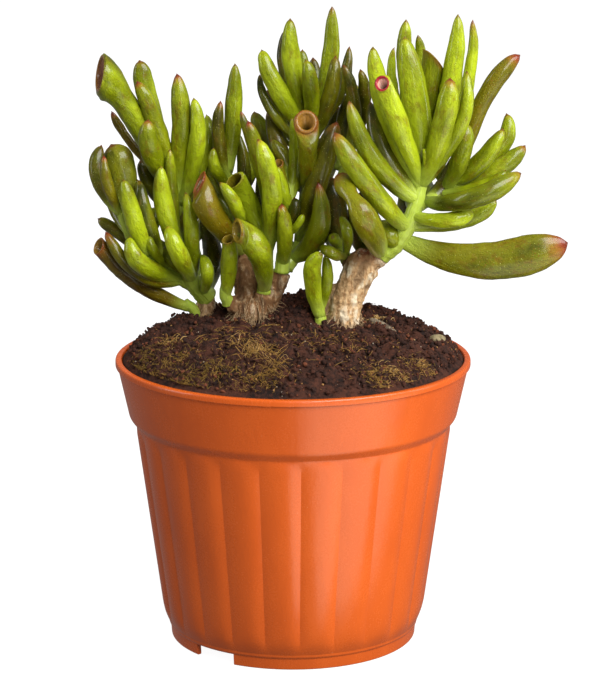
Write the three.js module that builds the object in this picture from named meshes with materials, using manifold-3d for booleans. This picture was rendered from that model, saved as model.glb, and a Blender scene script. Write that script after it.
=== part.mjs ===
// Potted jade plant, the kind with rolled, finger-shaped leaves, in a fluted nursery pot.
// Millimetres, +Z up. Sizes are worked out about the pot's axis, with z = 0 under its foot.
import * as THREE from 'three';
import { mergeVertices } from 'three/addons/utils/BufferGeometryUtils.js';
import Module from 'manifold-3d';

const wasm = await Module();
wasm.setup();
const { sin, cos, sqrt, min, max, abs, hypot, exp, PI } = Math;
const vec = (x, y, z) => new THREE.Vector3(x, y, z);
const rad = THREE.MathUtils.degToRad;

// Driving dimensions
const clearance = 0.3; // between a piece and what it touches
const potSize = {
  height: 97.1, rim: 60, bead: 2.2, wall: 1.4,
  collarTop: 59.3, collarFoot: 55.5, collarFootHeight: 77.6,
  bodyTop: 53.3, bodyTopHeight: 75, bodyFoot: 43.6, cornerHeight: 10, cornerPull: 1.2,
  foot: 42.2, footHeight: 4, footWall: 1.6, plate: 1.6,
  flutes: 24, fluteDepth: 0.85, fluteCrest: 0.62, firstCrease: 3, stepsPerFlute: 3,
  notches: [[-50, -28], [130, 152]], drainHoles: 8, drainRing: 30, drainRadius: 3.5,
};
const soilSize = {
  edge: 96.4, heap: 11.5, steepness: 6, crumb: 0.7,
  lump: 7.3, lumpAt: [1.5, 13], lumpSpread: 9.5, rings: 9, spokes: 40,
  clod: 2.2, clodApart: 15, // low mounds of earth and moss
};
const rootDepth = 17; // how far a woody stem goes into the soil

// Where the plant is seen from. A place on it is given as [across, up, back]: across and up are
// millimetres in the upright picture plane, from the middle of the pot's rim, and back is its y.
const eye = vec(2.36, -946, 329.2);
const pitch = rad(13.5);
const sight = vec(0, cos(pitch), -sin(pitch));
const upright = vec(0, sin(pitch), cos(pitch));
const planeAway = 960;
const planeMiddle = [2.333, 4.5];

function seen([across, up, back]) {
  const ray = sight.clone().multiplyScalar(planeAway).addScaledVector(upright, up - planeMiddle[1]);
  ray.x += across - planeMiddle[0];
  return eye.clone().addScaledVector(ray, (back - eye.y) / ray.y);
}

// Leaf forms: root girth, where the leaf is fullest and where its tip starts to close, as shares
// of its length or full girth; power is how bluntly it closes; thick is its depth over its width;
// a knob-ended leaf has a waist below its tip.
const forms = {
  finger: { root: 0.6, full: 0.5, shoulder: 0.42, power: 2.5, thick: 0.9 },
  blunt: { root: 0.6, full: 0.5, shoulder: 0.72, power: 2.2, thick: 0.9 },
  spoon: { root: 0.45, full: 0.82, shoulder: 0.76, power: 2.1, thick: 0.75 },
  paddle: { root: 0.34, full: 0.8, shoulder: 0.74, power: 2.1, thick: 0.45 },
  bottle: { root: 0.6, full: 0.42, shoulder: 0.4, power: 1.7, thick: 0.9 },
  knob: { root: 0.55, full: 0.38, shoulder: 0.8, power: 2.2, thick: 0.8, waist: 0.42 },
  cup: { root: 0.5, full: 0.65, shoulder: 1, power: 2, thick: 0.92 },
};
const waistAt = { middle: 0.74, spread: 0.14 };
const flareFrom = 0.62; // where a cup leaf starts to widen to its mouth
const leafSides = 6;
const slimSides = 5; // on thin leaves and on those at the back
const slimGirth = 3.6;
const stemSides = 6;
const barkSides = 7;
const leafSteps = [0, 0.36, 0.72, 0.94];
const cupSteps = [0, 0.36, 0.72, 1];

// [form, girth, root, middle, tip, more]: the places are [across, up, back]
const stems = [
  {
    name: 'stem_left_front', thick: [3.6, 1.5],
    path: [[-28.8, 19.5, 20], [-33, 24, 16], [-36.5, 31, 12], [-39.5, 41, 11], [-41, 50, 12]],
    behind: { count: 2, from: 0.3, to: 0.8, turn: [-30, 60], lift: 40, reach: 20 },
    leaves: [
      ['finger', 6.2, [-36, 30, 13], [-42.3, 46.7, 8], [-44, 62.7, 6]],
      ['finger', 6.2, [-33.7, 24, 14], [-38, 34, 5], [-41.7, 42.5, 2]],
      ['finger', 4, [-37.7, 38.3, 14], [-40.3, 55, 13], [-41, 68.3, 12]],
      ['finger', 5, [-33.3, 25, 14], [-33.5, 38.3, 9], [-36, 54, 7]],
      ['finger', 4.4, [-29.5, 20.5, 18], [-28.8, 27, 11], [-30.3, 33.3, 10]],
      ['blunt', 4.6, [-36, 28, 15], [-41, 30.5, 12], [-43, 35, 11]],
    ],
  },
  {
    name: 'stem_left_side', thick: [2.8, 1.5],
    path: [[-33.6, 23.8, 17.4], [-40, 27, 14], [-47.5, 32, 10], [-53.5, 38.5, 8], [-57.5, 47.5, 8]],
    behind: { count: 5, from: 0.1, to: 0.9, turn: [-35, 60], lift: 25, reach: 20 },
    leaves: [
      ['finger', 5.4, [-58.7, 48, 7], [-64.6, 59, 9], [-64, 69.7, 11]],
      ['spoon', 10, [-57, 47.7, 9], [-56.8, 58.5, 13], [-60.5, 69.9, 14]],
      ['finger', 3.8, [-58.3, 49.7, 6], [-61.5, 56, 2], [-63.3, 66.2, 2]],
      ['finger', 6.2, [-47.7, 33.3, 9], [-53, 45, 3], [-56.7, 58.3, 1]],
      ['finger', 3.4, [-49.3, 44, 14], [-51.5, 51, 17], [-53, 59.2, 18]],
      ['finger', 5, [-42.7, 30, 13], [-47.7, 45, 10], [-51.3, 58, 9]],
      ['finger', 6, [-37, 26, 15], [-49.6, 30, 5], [-54.3, 39.2, 2]],
      ['finger', 3.2, [-41.7, 28.5, 14], [-45.7, 35, 10], [-48.3, 40.5, 8]],
      ['finger', 4.4, [-50, 31.5, 12], [-58.7, 41, 15], [-64.8, 45.3, 16]],
      ['blunt', 4.2, [-36.5, 24, 15], [-50.3, 26.7, 8], [-62.3, 40.8, 6]],
    ],
  },
  {
    name: 'stem_left_back', thick: [2.4, 1.5],
    path: [[-29.6, 20.6, 22], [-32, 30, 25], [-34.5, 42, 26], [-38, 52, 25], [-39, 58, 24]],
    behind: { count: 6, from: 0.2, to: 1, turn: [-60, 60], lift: 34, reach: 25 },
    leaves: [
      ['cup', 7.8, [-41.7, 50, 22], [-53, 79, 20], [-64, 93.8, 17],
        { mouth: 13.2, faces: [-1, -0.25, 0.2] }],
      ['spoon', 6.6, [-38.5, 56.7, 26], [-46.8, 80, 29], [-51.2, 97.9, 29]],
      ['finger', 5.7, [-38, 57, 22], [-46.2, 78, 19], [-51.8, 91, 18]],
      ['blunt', 2.8, [-40, 53, 28], [-53.5, 70, 30], [-60.4, 81, 30]],
      ['finger', 7, [-40, 52, 19], [-46.7, 66.7, 12], [-48.3, 78.2, 9]],
      ['finger', 6.4, [-35.3, 51.7, 22], [-37.2, 75, 19], [-38.7, 93.4, 18]],
      ['finger', 5.6, [-33.5, 50, 22], [-32, 69, 17], [-33, 85.4, 16]],
      ['finger', 4.2, [-34, 50, 27], [-29, 67, 29], [-28.7, 79.7, 30]],
      ['finger', 6.4, [-29.6, 20.6, 22], [-27.4, 33, 18], [-30.5, 46, 17]],
      ['finger', 5, [-36, 45, 24], [-45.6, 54, 22], [-51, 64.5, 20]],
    ],
  },
  {
    name: 'shoot_low_left', thick: [2, 1.6],
    path: [[-31.5, 12, 19], [-33.5, 15.5, 18], [-36, 17.5, 17]],
    behind: { count: 0 },
    leaves: [
      ['cup', 5.6, [-34, 15.5, 18], [-49.8, 23, 12], [-64.8, 36.2, 9],
        { mouth: 6, faces: [-0.8, -0.45, 0.35] }],
    ],
  },
  {
    name: 'stem_middle_left', thick: [2.4, 1.4],
    path: [[-16.4, 33.5, 15], [-18, 43, 18], [-20, 52, 19], [-21.8, 61, 19]],
    behind: { count: 5, from: 0.1, to: 0.9, turn: [-50, 60], lift: 34, reach: 24 },
    leaves: [
      ['cup', 9, [-17.5, 34, 15], [-26.4, 46, 7], [-31.2, 57.3, 3],
        { mouth: 9.2, faces: [-0.9, -0.2, 0.45] }],
      ['finger', 4.6, [-18, 42, 16], [-18.4, 49, 4], [-24.3, 57.3, -1]],
      ['finger', 4.2, [-22, 59, 19], [-24.7, 71.7, 17], [-24.3, 84.4, 17]],
      ['finger', 5.6, [-21, 61.7, 20], [-20, 79, 19], [-19.4, 96.8, 18]],
      ['finger', 4, [-21.5, 55, 17], [-26, 62, 12], [-26.5, 68.8, 11]],
      ['finger', 4.4, [-19, 45, 19], [-27, 57, 25], [-29, 72, 30]],
      ['finger', 4.6, [-17.6, 46, 18], [-16.2, 58, 21], [-18.4, 73.6, 23]],
    ],
  },
  {
    name: 'stem_middle_front', thick: [2.6, 1.5],
    path: [[-9.6, 20.5, 6.5], [-8.8, 30, 8.5], [-8.6, 42, 10], [-9, 54, 11]],
    behind: { count: 1, from: 0.5, to: 0.9, turn: [-20, 20], lift: 40, reach: 20 },
    leaves: [
      ['cup', 8.2, [-8.8, 21.5, 6], [-11.3, 34, -2], [-18.4, 41.2, -6],
        { mouth: 8.4, faces: [-0.85, -0.5, 0.15] }],
      ['cup', 7.2, [-8.8, 36, 9], [-14.6, 49.5, 6], [-19.6, 58, 3],
        { mouth: 8.4, faces: [-0.55, -0.75, 0.35], squeeze: 0.5 }],
      ['finger', 3.2, [-9.4, 52, 12], [-13.7, 69, 13], [-17.4, 81, 13]],
      ['finger', 5, [-8.8, 50, 10], [-11.2, 65, 6], [-15, 77.8, 4]],
      ['finger', 6.4, [-8.6, 34, 8], [-7, 55, -1], [-11.7, 71.7, -3]],
    ],
  },
  {
    name: 'shoot_middle_low', thick: [2.3, 1.6],
    path: [[-21.5, 17.6, 8], [-22.6, 20, 6.5], [-22.4, 24, 5.5]],
    behind: { count: 0 },
    leaves: [
      ['cup', 5.6, [-22.6, 19, 6.5], [-21.4, 29.5, 2.5], [-21.6, 38.6, 1],
        { mouth: 4.6, faces: [-0.3, -0.5, 0.8] }],
    ],
  },
  {
    name: 'stem_middle_right', thick: [2.6, 1.4],
    path: [[-3.8, 27.6, 6.6], [-2.8, 36, 7.5], [-1.6, 46, 9], [-0.8, 56, 11], [-0.4, 62, 12]],
    behind: { count: 3, from: 0.3, to: 1, turn: [-50, 50], lift: 40, reach: 22 },
    leaves: [
      ['finger', 5.2, [-3, 30, 6], [-2.6, 40, 0], [-3.7, 50.2, -3]],
      ['finger', 4.4, [-2, 47.7, 7], [-3.6, 55, 2], [-5.6, 62.8, 0]],
      ['cup', 3.6, [-1.5, 51.7, 9], [-3.6, 57.7, 7], [-5, 63.8, 6],
        { mouth: 3.8, faces: [-0.2, -0.6, 0.7] }],
      ['finger', 4.6, [-0.6, 60, 12], [-4, 66.7, 14], [-7.4, 71.4, 14]],
      ['finger', 3, [-0.6, 54, 11], [0, 66, 10], [-0.3, 78.8, 9]],
      ['blunt', 4, [-1.5, 42, 10], [0.3, 46.5, 8], [0.3, 52.2, 7]],
      ['blunt', 2.6, [-1.8, 39.7, 7], [1.2, 43, 3], [3.4, 46.8, 2]],
    ],
  },
  {
    name: 'stem_middle_tall', thick: [2.6, 1.5],
    path: [[-2.4, 29, 10], [2, 36, 14], [3.5, 48, 18], [4.5, 62, 20.5], [6.3, 76.7, 21]],
    behind: { count: 8, from: 0.15, to: 1, turn: [-70, 60], lift: 34, reach: 28 },
    leaves: [
      ['finger', 6.2, [3.5, 72, 20], [-5, 88.3, 17], [-10.4, 101.4, 16]],
      ['finger', 3.2, [3, 69, 22], [-7.3, 80.7, 23], [-11, 93.2, 23]],
      ['finger', 6.2, [5, 76, 20], [0.3, 94.3, 15], [-1, 111.8, 13]],
      ['finger', 4.6, [6, 76, 22], [4, 91, 22], [3.2, 101.5, 22]],
      ['finger', 4, [4.5, 74, 22], [-2.6, 93, 26], [-2.4, 108.3, 27]],
      ['finger', 5.4, [5.6, 74, 19], [6.2, 87.7, 11], [4.4, 98.2, 9]],
      ['finger', 5.8, [7, 76, 22], [11.7, 94.3, 23], [13, 115.8, 22]],
      ['finger', 5.4, [5.5, 70, 20], [12, 85, 15], [14.3, 99.4, 14]],
      ['finger', 4.4, [6.5, 74, 22], [15.2, 87, 23], [18.8, 102.5, 23]],
      ['cup', 6, [4, 52, 17], [5, 64.5, 7], [4.3, 77.6, 1],
        { mouth: 8, faces: [0.02, -0.94, 0.34] }],
      ['blunt', 7.4, [2, 38, 15], [7.6, 56, 10], [14.6, 77.4, 6]],
      ['bottle', 7.4, [1.2, 32, 12], [8.8, 41.2, 3], [8.4, 57.2, -1]],
    ],
  },
  {
    name: 'shoot_low_front', thick: [2.2, 1.6],
    path: [[9.2, 9.5, -1], [9.2, 12.5, -1], [8.6, 15.5, -1.5]],
    behind: { count: 0 },
    leaves: [
      ['finger', 5.8, [9, 12.5, -1], [6.4, 26.5, -4], [9.8, 33.8, -5]],
      ['finger', 3.8, [9.2, 14.5, -1], [11.2, 24.5, -1.5], [10.6, 33, -1]],
    ],
  },
  {
    name: 'stem_right_left', thick: [2.2, 1.4],
    path: [[18, 31.5, 6.5], [15, 38, 10], [14.5, 50, 14], [17, 62, 16], [19.5, 71, 17]],
    behind: { count: 6, from: 0.05, to: 1, turn: [-75, 60], lift: 30, reach: 26 },
    leaves: [
      ['finger', 4.4, [18, 66, 16], [20.5, 82, 12], [16.7, 96.4, 10]],
      ['finger', 4.4, [19.5, 70, 17], [23.6, 83, 15], [22.5, 95, 14]],
      ['blunt', 4.2, [15.4, 36.5, 9], [14, 38, 3], [13, 39.2, -3]],
      ['finger', 4, [17.4, 32.5, 7], [13.6, 32.7, 2], [9.2, 36, 1]],
      ['finger', 3.4, [17.5, 33, 7], [18.4, 39.3, 2], [15.6, 46, 1]],
      ['blunt', 8, [16, 34, 9], [14.2, 46, 9], [13, 59, 9]],
      ['finger', 7, [17, 62, 16], [17.6, 74, 20], [19, 88, 22]],
    ],
  },
  {
    name: 'crown_right', thick: [3.6, 1.8],
    path: [[29.5, 33.8, 0], [34, 37, -1.5], [38, 42.5, -3], [40.6, 49, -3], [42.5, 56, -2], [44, 62, 0]],
    behind: { count: 7, from: 0.1, to: 1, turn: [-70, 60], lift: 30, reach: 26 },
    leaves: [
      ['knob', 8.4, [29.5, 33.8, -1], [23.2, 45.5, -7], [15.4, 59.8, -9]],
      ['finger', 7, [41, 52, 0], [31, 66, 3], [26, 84, 5]],
      ['blunt', 6.4, [31, 34.5, 0], [22.6, 37, 7], [19.5, 47, 10]],
      ['blunt', 6.8, [38, 42.3, -5], [26.3, 55, -15], [14, 73.9, -17]],
      ['finger', 6.4, [39.5, 52, -4], [27.6, 64, -8], [18.8, 84.4, -9]],
      ['finger', 6.6, [41, 56, -3], [31.6, 80, -4], [26.7, 102.4, -5]],
      ['cup', 6, [43, 57, -4], [36.9, 73.5, -12], [29.8, 90.4, -14],
        { mouth: 5.8, faces: [-0.45, -0.8, 0.4] }],
      ['finger', 5.4, [42, 60, 2], [37.9, 91, 9], [37.6, 111.5, 10]],
      ['finger', 8.6, [43.5, 60, -3], [40.9, 83.5, -5], [37.2, 105.8, -5]],
      ['finger', 3.4, [42, 58, 1], [34.2, 84, 5], [33.8, 102.2, 6]],
      ['finger', 4, [43.5, 62, 3], [43.4, 90, 10], [41.7, 106.4, 11]],
      ['cup', 6.4, [44, 61, 0], [45.6, 80, 1], [46.8, 98, 1],
        { mouth: 9.6, faces: [0.75, 0.25, 0.62] }],
      ['blunt', 6.8, [43.5, 57, -3], [49.4, 74, -12], [52.4, 92, -14]],
      ['finger', 6.6, [44, 60, 0], [52, 87, -3], [55, 113.2, -4]],
      ['finger', 4.4, [44, 61, 2], [56.6, 84, 7], [60, 111.4, 8]],
      ['finger', 4.6, [43.5, 59, -1], [55.5, 75.5, -8], [58, 94.4, -9]],
      ['finger', 2.4, [43.5, 58, -4], [44.6, 64, -8], [43.3, 68.7, -9]],
      ['finger', 2.4, [44, 60, -3], [46.6, 67.5, -7], [46.3, 74, -8]],
      ['blunt', 6.4, [34, 36.5, -1], [31.6, 39.6, 1], [29, 43.6, 2]],
      ['blunt', 5, [40.6, 46, -4], [51.3, 45.3, -9], [59.4, 47.8, -10]],
      ['finger', 6.2, [39, 43.5, -2], [56.8, 45.4, -3], [67.6, 51.6, -4]],
      ['paddle', 12.6, [35.5, 38.5, -2], [62, 31.4, -6], [91.2, 37.3, -8], { twist: 12 }],
    ],
  },
  {
    name: 'stem_right_side', thick: [2.2, 1.4],
    path: [[40.6, 49, -2], [45, 51.5, 2], [50, 55, 6], [55.5, 60.5, 9]],
    behind: { count: 6, from: 0.1, to: 1, turn: [-50, 50], lift: 28, reach: 22 },
    leaves: [
      ['blunt', 5.6, [54, 61, 6], [63.3, 84.3, 7], [75.4, 99.8, 8]],
      ['blunt', 5.8, [51, 57, 4], [55.8, 65.7, -6], [57.7, 77.4, -8]],
      ['finger', 6, [52, 58, 5], [62.4, 64, 0], [69.8, 75.2, -1]],
      ['finger', 5.8, [55, 61, 7], [69, 69, 9], [71.2, 80.2, 10]],
      ['finger', 6.4, [51, 56.5, 4], [67.4, 61.4, 5], [77.2, 69.6, 6]],
      ['blunt', 6.2, [45, 53.6, 0], [58.5, 51.2, -14], [75.8, 60.4, -14]],
      ['finger', 3.4, [49, 55.5, 3], [63.8, 56.6, -2], [70.8, 61.4, -3]],
    ],
  },
];

// Woody stems: [across, up, back, radius] up each path. The first path goes on down into the soil.
const trunks = [
  { name: 'trunk_left', paths: [[[-29, 13, 20, 3.2], [-29, 16.5, 20, 3], [-28.8, 19.6, 20, 2.6]]] },
  {
    name: 'trunk_middle',
    paths: [
      [[-13, 11.5, 9, 5.6], [-13.3, 15.5, 9, 6], [-13.4, 18.5, 9, 5.4]],
      [[-14.5, 15, 10, 4], [-15.4, 22, 11.5, 3.4], [-16.2, 28, 13.5, 2.7], [-16.5, 33.3, 15, 2.1]],
      [[-11, 16, 8.5, 3.4], [-9.6, 20.4, 6.6, 2.5]],
      [[-9, 16.5, 9, 3.2], [-5.8, 21.5, 8, 2.2], [-3.8, 27.4, 7.6, 2.4]],
      [[-15, 15.5, 9, 3], [-21, 17.4, 8, 2.1]],
    ],
  },
  {
    name: 'trunk_right',
    paths: [
      [[17, 8.5, 1, 4.9], [18, 18, 1, 4.8], [20.6, 24.5, 1.5, 5.1], [23.4, 30, 2, 5.5], [25.6, 33, 2, 4]],
      [[24, 30.5, 2, 4], [29.4, 33.6, 0, 3.2]],
      [[21, 28, 2.5, 3.2], [18.2, 31.4, 6.2, 2.2]],
      [[13, 10.5, 2.5, 2.4], [12.6, 17, 3, 2], [15.5, 22.5, 2.6, 2.4]],
    ],
  },
];

const looks = {
  pot: { color: 0xd9652f, roughness: 0.42 },
  soil: { color: 0x3a2620, roughness: 1 },
  bark: { color: 0xb59b78, roughness: 0.9 },
  leaf: { color: 0x8fa81f, roughness: 0.35 },
  chip: { color: 0x6f6256, roughness: 0.95 },
  pebble: { color: 0x7c7462, roughness: 0.8 },
};

// Solids
function toSolid(geometry) {
  const bare = geometry.clone();
  bare.deleteAttribute('normal');
  bare.deleteAttribute('uv');
  const merged = mergeVertices(bare, 1e-4);
  const vertProperties = new Float32Array(merged.attributes.position.array);
  const triVerts = new Uint32Array(merged.index.array);
  return new wasm.Manifold(new wasm.Mesh({ numProp: 3, vertProperties, triVerts }));
}

function toMesh(name, solid, look) {
  const { vertProperties, triVerts } = solid.getMesh();
  const geometry = new THREE.BufferGeometry();
  geometry.setAttribute('position', new THREE.BufferAttribute(vertProperties, 3));
  geometry.setIndex(new THREE.BufferAttribute(triVerts, 1));
  geometry.computeVertexNormals();
  const mesh = new THREE.Mesh(geometry, new THREE.MeshStandardMaterial({ metalness: 0, ...look }));
  mesh.name = name;
  return mesh;
}

// A closed skin over rings of points, from one end point to the other
function skin(rings, start, end) {
  const count = rings[0].length;
  const points = [start, ...rings.flat(), end].flatMap((p) => [p.x, p.y, p.z]);
  const at = (ring, i) => 1 + ring * count + (i % count);
  const last = rings.length * count + 1;
  const faces = [];
  for (let i = 0; i < count; i++) {
    faces.push(0, at(0, i + 1), at(0, i));
    for (let k = 0; k < rings.length - 1; k++) {
      faces.push(at(k, i), at(k, i + 1), at(k + 1, i + 1), at(k, i), at(k + 1, i + 1), at(k + 1, i));
    }
    faces.push(last, at(rings.length - 1, i), at(rings.length - 1, i + 1));
  }
  const geometry = new THREE.BufferGeometry();
  geometry.setAttribute('position', new THREE.Float32BufferAttribute(points, 3));
  geometry.setIndex(faces);
  return toSolid(geometry);
}

function ringAt(centre, x, y, wide, deep, sides) {
  const turns = Array.from({ length: sides }, (_, i) => (i * 2 * PI) / sides);
  return turns.map((turn) =>
    centre.clone().addScaledVector(x, cos(turn) * wide).addScaledVector(y, sin(turn) * deep));
}

// A round limb through points that each have a radius, swollen all over by grow
function limb(points, radii, sides, stepsPerSpan, grow = 0) {
  const curve = new THREE.CatmullRomCurve3(points);
  const steps = stepsPerSpan * (points.length - 1);
  const rings = [];
  const first = curve.getTangent(0);
  let x = vec(0, 1, 0).addScaledVector(first, -first.y).normalize();
  for (let k = 0; k <= steps; k++) {
    const share = k / steps;
    const along = curve.getTangent(share);
    x = x.addScaledVector(along, -x.dot(along)).normalize();
    const place = share * (points.length - 1);
    const i = min(Math.floor(place), points.length - 2);
    const radius = radii[i] + (radii[i + 1] - radii[i]) * (place - i) + grow;
    const centre = curve.getPoint(share);
    rings.push(ringAt(centre, x.clone(), along.clone().cross(x), radius, radius, sides));
  }
  const dome = 0.45;
  const start = points[0].clone().addScaledVector(curve.getTangent(0), -dome * radii[0] - grow);
  const end = points.at(-1).clone().addScaledVector(curve.getTangent(1), dome * radii.at(-1) + grow);
  return skin(rings, start, end);
}

// Leaves
function spine({ root, middle, tip }, t) {
  return root.clone().multiplyScalar((1 - t) * (1 - 2 * t))
    .addScaledVector(middle, 4 * t * (1 - t)).addScaledVector(tip, t * (2 * t - 1));
}

function heading({ root, middle, tip }, t) {
  return root.clone().multiplyScalar(4 * t - 3)
    .addScaledVector(middle, 4 - 8 * t).addScaledVector(tip, 4 * t - 1).normalize();
}

const smooth = (low, high, t) => THREE.MathUtils.smoothstep(t, low, high);

function radiusAt(leaf, t) {
  const form = forms[leaf.form];
  const swell = form.root + (1 - form.root) * sin((PI / 2) * min(1, t / form.full));
  if (leaf.form === 'cup') {
    return (leaf.girth / 2) * swell + (leaf.mouth / 2 - leaf.girth / 2) * smooth(flareFrom, 1, t);
  }
  const past = max(0, (t - form.shoulder) / (1 - form.shoulder));
  const waist = 1 - (form.waist ?? 0) * exp(-(((t - waistAt.middle) / waistAt.spread) ** 2));
  return (leaf.girth / 2) * swell * waist * sqrt(max(0, 1 - past ** form.power));
}

function leafFrame(leaf, t) {
  const along = heading(leaf, t);
  const chord = leaf.tip.clone().sub(leaf.root);
  const x = chord.clone().cross(sight).normalize();
  x.applyAxisAngle(chord.normalize(), rad(leaf.twist ?? 0));
  x.addScaledVector(along, -x.dot(along)).normalize();
  const y = along.clone().cross(x);
  if (leaf.form !== 'cup') return [x, y, along];
  const facing = along.clone().lerp(leaf.faces, smooth(flareFrom, 1, t)).normalize();
  const bend = new THREE.Quaternion().setFromUnitVectors(along, facing);
  return [x.applyQuaternion(bend), y.applyQuaternion(bend), facing];
}

// One leaf, swollen all over by grow. A cup's mouth is hollow, and closed where it has grown
function leafSolid(leaf, grow = 0) {
  const isCup = leaf.form === 'cup';
  const steps = isCup ? cupSteps : leafSteps;
  const corner = 1.05; // puts the corners just outside the round section
  const { thick } = forms[leaf.form];
  const sides = leaf.hidden || leaf.girth < slimGirth ? slimSides : leafSides;
  const rings = steps.map((t) => {
    const [x, y] = leafFrame(leaf, t);
    const wide = radiusAt(leaf, t) * corner;
    const deep = wide * (leaf.squeeze && t > flareFrom ? leaf.squeeze : thick);
    return ringAt(spine(leaf, t), x, y, wide + grow, deep + grow, sides);
  });
  const [x, y, facing] = leafFrame(leaf, 1);
  const start = leaf.root.clone().addScaledVector(heading(leaf, 0), -grow);
  if (!isCup || grow) return skin(rings, start, leaf.tip.clone().addScaledVector(facing, grow + 1e-3));
  const hollow = (depth) => leaf.tip.clone().addScaledVector(facing, -depth * leaf.mouth);
  const lip = leaf.mouth * 0.36;
  rings.push(ringAt(hollow(0.04), x, y, lip, lip * (leaf.squeeze ?? 1), sides));
  return skin(rings, start, hollow(0.3));
}

// A small repeatable draw from 0 to 1
let seed = 20261;
function draw() {
  seed = (seed * 16807) % 2147483647;
  return seed / 2147483647;
}

// Leaves round the back of a stem, in pairs that turn as they go up it
function hiddenLeaves(stem, curve) {
  const { count, from, to, turn, lift, reach } = stem.behind;
  const leaves = [];
  for (let i = 0; i < count; i++) {
    const share = from + ((to - from) * (i + 0.5)) / count;
    const side = i % 2 ? 0.75 : 0.25;
    const angle = rad(turn[0] + (turn[1] - turn[0]) * (side + 0.4 * (draw() - 0.5)));
    const rise = rad(lift + 24 * (share - 0.5) + 10 * (draw() - 0.5));
    const length = reach * (0.85 + 0.3 * draw());
    const out = vec(sin(angle) * cos(rise), cos(angle) * cos(rise), sin(rise));
    const root = curve.getPoint(share);
    const middle = root.clone().addScaledVector(out, length * 0.5);
    const tip = root.clone().addScaledVector(out, length * 0.92);
    tip.z += length * 0.22;
    const form = ['finger', 'finger', 'spoon', 'blunt'][Math.floor(4 * draw())];
    leaves.push({ form, girth: 4.4 + 1.8 * draw(), root, middle, tip, hidden: true });
  }
  return leaves;
}

function growLeaves(stem, index) {
  const curve = new THREE.CatmullRomCurve3(stem.path.map(seen));
  const places = Array.from({ length: 41 }, (_, i) => curve.getPoint(i / 40));
  const read = stem.leaves.map(([form, girth, root, middle, tip, more = {}]) => {
    const near = seen(root);
    const foot = places.reduce((a, b) => (b.distanceTo(near) < a.distanceTo(near) ? b : a));
    const leaf = { form, girth, root: foot.clone(), middle: seen(middle), tip: seen(tip), ...more };
    if (leaf.faces) leaf.faces = vec(...leaf.faces).normalize();
    return leaf;
  });
  const all = [...read, ...hiddenLeaves(stem, curve)];
  all.forEach((leaf) => Object.assign(leaf, { stem: index }));
  return all;
}

// Eases the leaves apart where they would cross. Roots stay, and a leaf that was placed by eye
// moves mostly along the line of sight, so that it stays where it is seen.
const settling = { rounds: 90, share: 0.45, inPlane: 0.35, apart: 0.75, pullBack: 0.06 };
const sampleAt = [0.08, 0.2, 0.32, 0.44, 0.56, 0.67, 0.78, 0.88, 0.97];

function sampleLeaf(leaf) {
  const reach = (t) => radiusAt(leaf, t) * (1 + forms[leaf.form].thick) / 2;
  return sampleAt.map((t) => ({ t, at: spine(leaf, t), r: reach(t) }));
}

function pushFrom(a, b, need, order) {
  const away = a.clone().sub(b);
  const gap = away.length();
  if (gap >= need) return null;
  if (gap < 1e-6) away.set(0, 1e-3, 0);
  away.normalize();
  const depth = away.dot(sight);
  const flat = away.clone().addScaledVector(sight, -depth).multiplyScalar(settling.inPlane);
  const steer = abs(depth) < 0.35 ? order * max(abs(depth), 0.5) : depth;
  return flat.addScaledVector(sight, steer).normalize().multiplyScalar(need - gap);
}

function settle(leaves, obstacles) {
  for (const leaf of leaves) {
    leaf.home = { middle: leaf.middle.clone(), tip: leaf.tip.clone() };
    leaf.order = leaf.middle.clone().add(leaf.tip).dot(sight);
  }
  for (let round = 0; round < settling.rounds; round++) {
    const samples = leaves.map(sampleLeaf);
    const moves = leaves.map(() => ({ middle: vec(0, 0, 0), tip: vec(0, 0, 0) }));
    const shift = (i, t, push, share) => {
      moves[i].middle.addScaledVector(push, share * 4 * t * (1 - t));
      moves[i].tip.addScaledVector(push, share * max(0, t * (2 * t - 1)));
    };
    for (let i = 0; i < leaves.length; i++) {
      for (let j = i + 1; j < leaves.length; j++) {
        const order = leaves[i].order > leaves[j].order ? 1 : -1;
        const kin = leaves[i].stem === leaves[j].stem;
        for (const p of samples[i]) {
          for (const q of samples[j]) {
            if (abs(p.at.x - q.at.x) > 9 || abs(p.at.z - q.at.z) > 9) continue;
            const near = kin ? min(1, max(0, (min(p.t, q.t) - 0.15) * 2.4)) : 1;
            const need = kin ? (p.r + q.r) * near : p.r + q.r + settling.apart;
            const push = pushFrom(p.at, q.at, need, order);
            if (!push) continue;
            shift(i, p.t, push, settling.share);
            shift(j, q.t, push, -settling.share);
          }
        }
      }
      for (const { at, r, stem } of obstacles) {
        if (stem === leaves[i].stem) continue;
        for (const p of samples[i]) {
          const need = p.r + r + settling.apart;
          if (abs(p.at.x - at.x) > need || abs(p.at.z - at.z) > need) continue;
          const push = pushFrom(p.at, at, need, p.at.dot(sight) > at.dot(sight) ? 1 : -1);
          if (push) shift(i, p.t, push, 2 * settling.share);
        }
      }
      for (const p of samples[i]) {
        const sunk = soilTop(p.at.x, p.at.y) + p.r + 1 - p.at.z;
        if (sunk > 0 && hypot(p.at.x, p.at.y) < potSize.rim + 6) shift(i, p.t, vec(0, 0, sunk), 0.6);
      }
    }
    leaves.forEach((leaf, i) => {
      for (const end of ['middle', 'tip']) {
        leaf[end].add(moves[i][end].clampLength(0, 1));
        const drift = leaf.home[end].clone().sub(leaf[end]);
        drift.addScaledVector(sight, -drift.dot(sight));
        leaf[end].addScaledVector(drift, settling.pullBack);
      }
    });
  }
}

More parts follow.
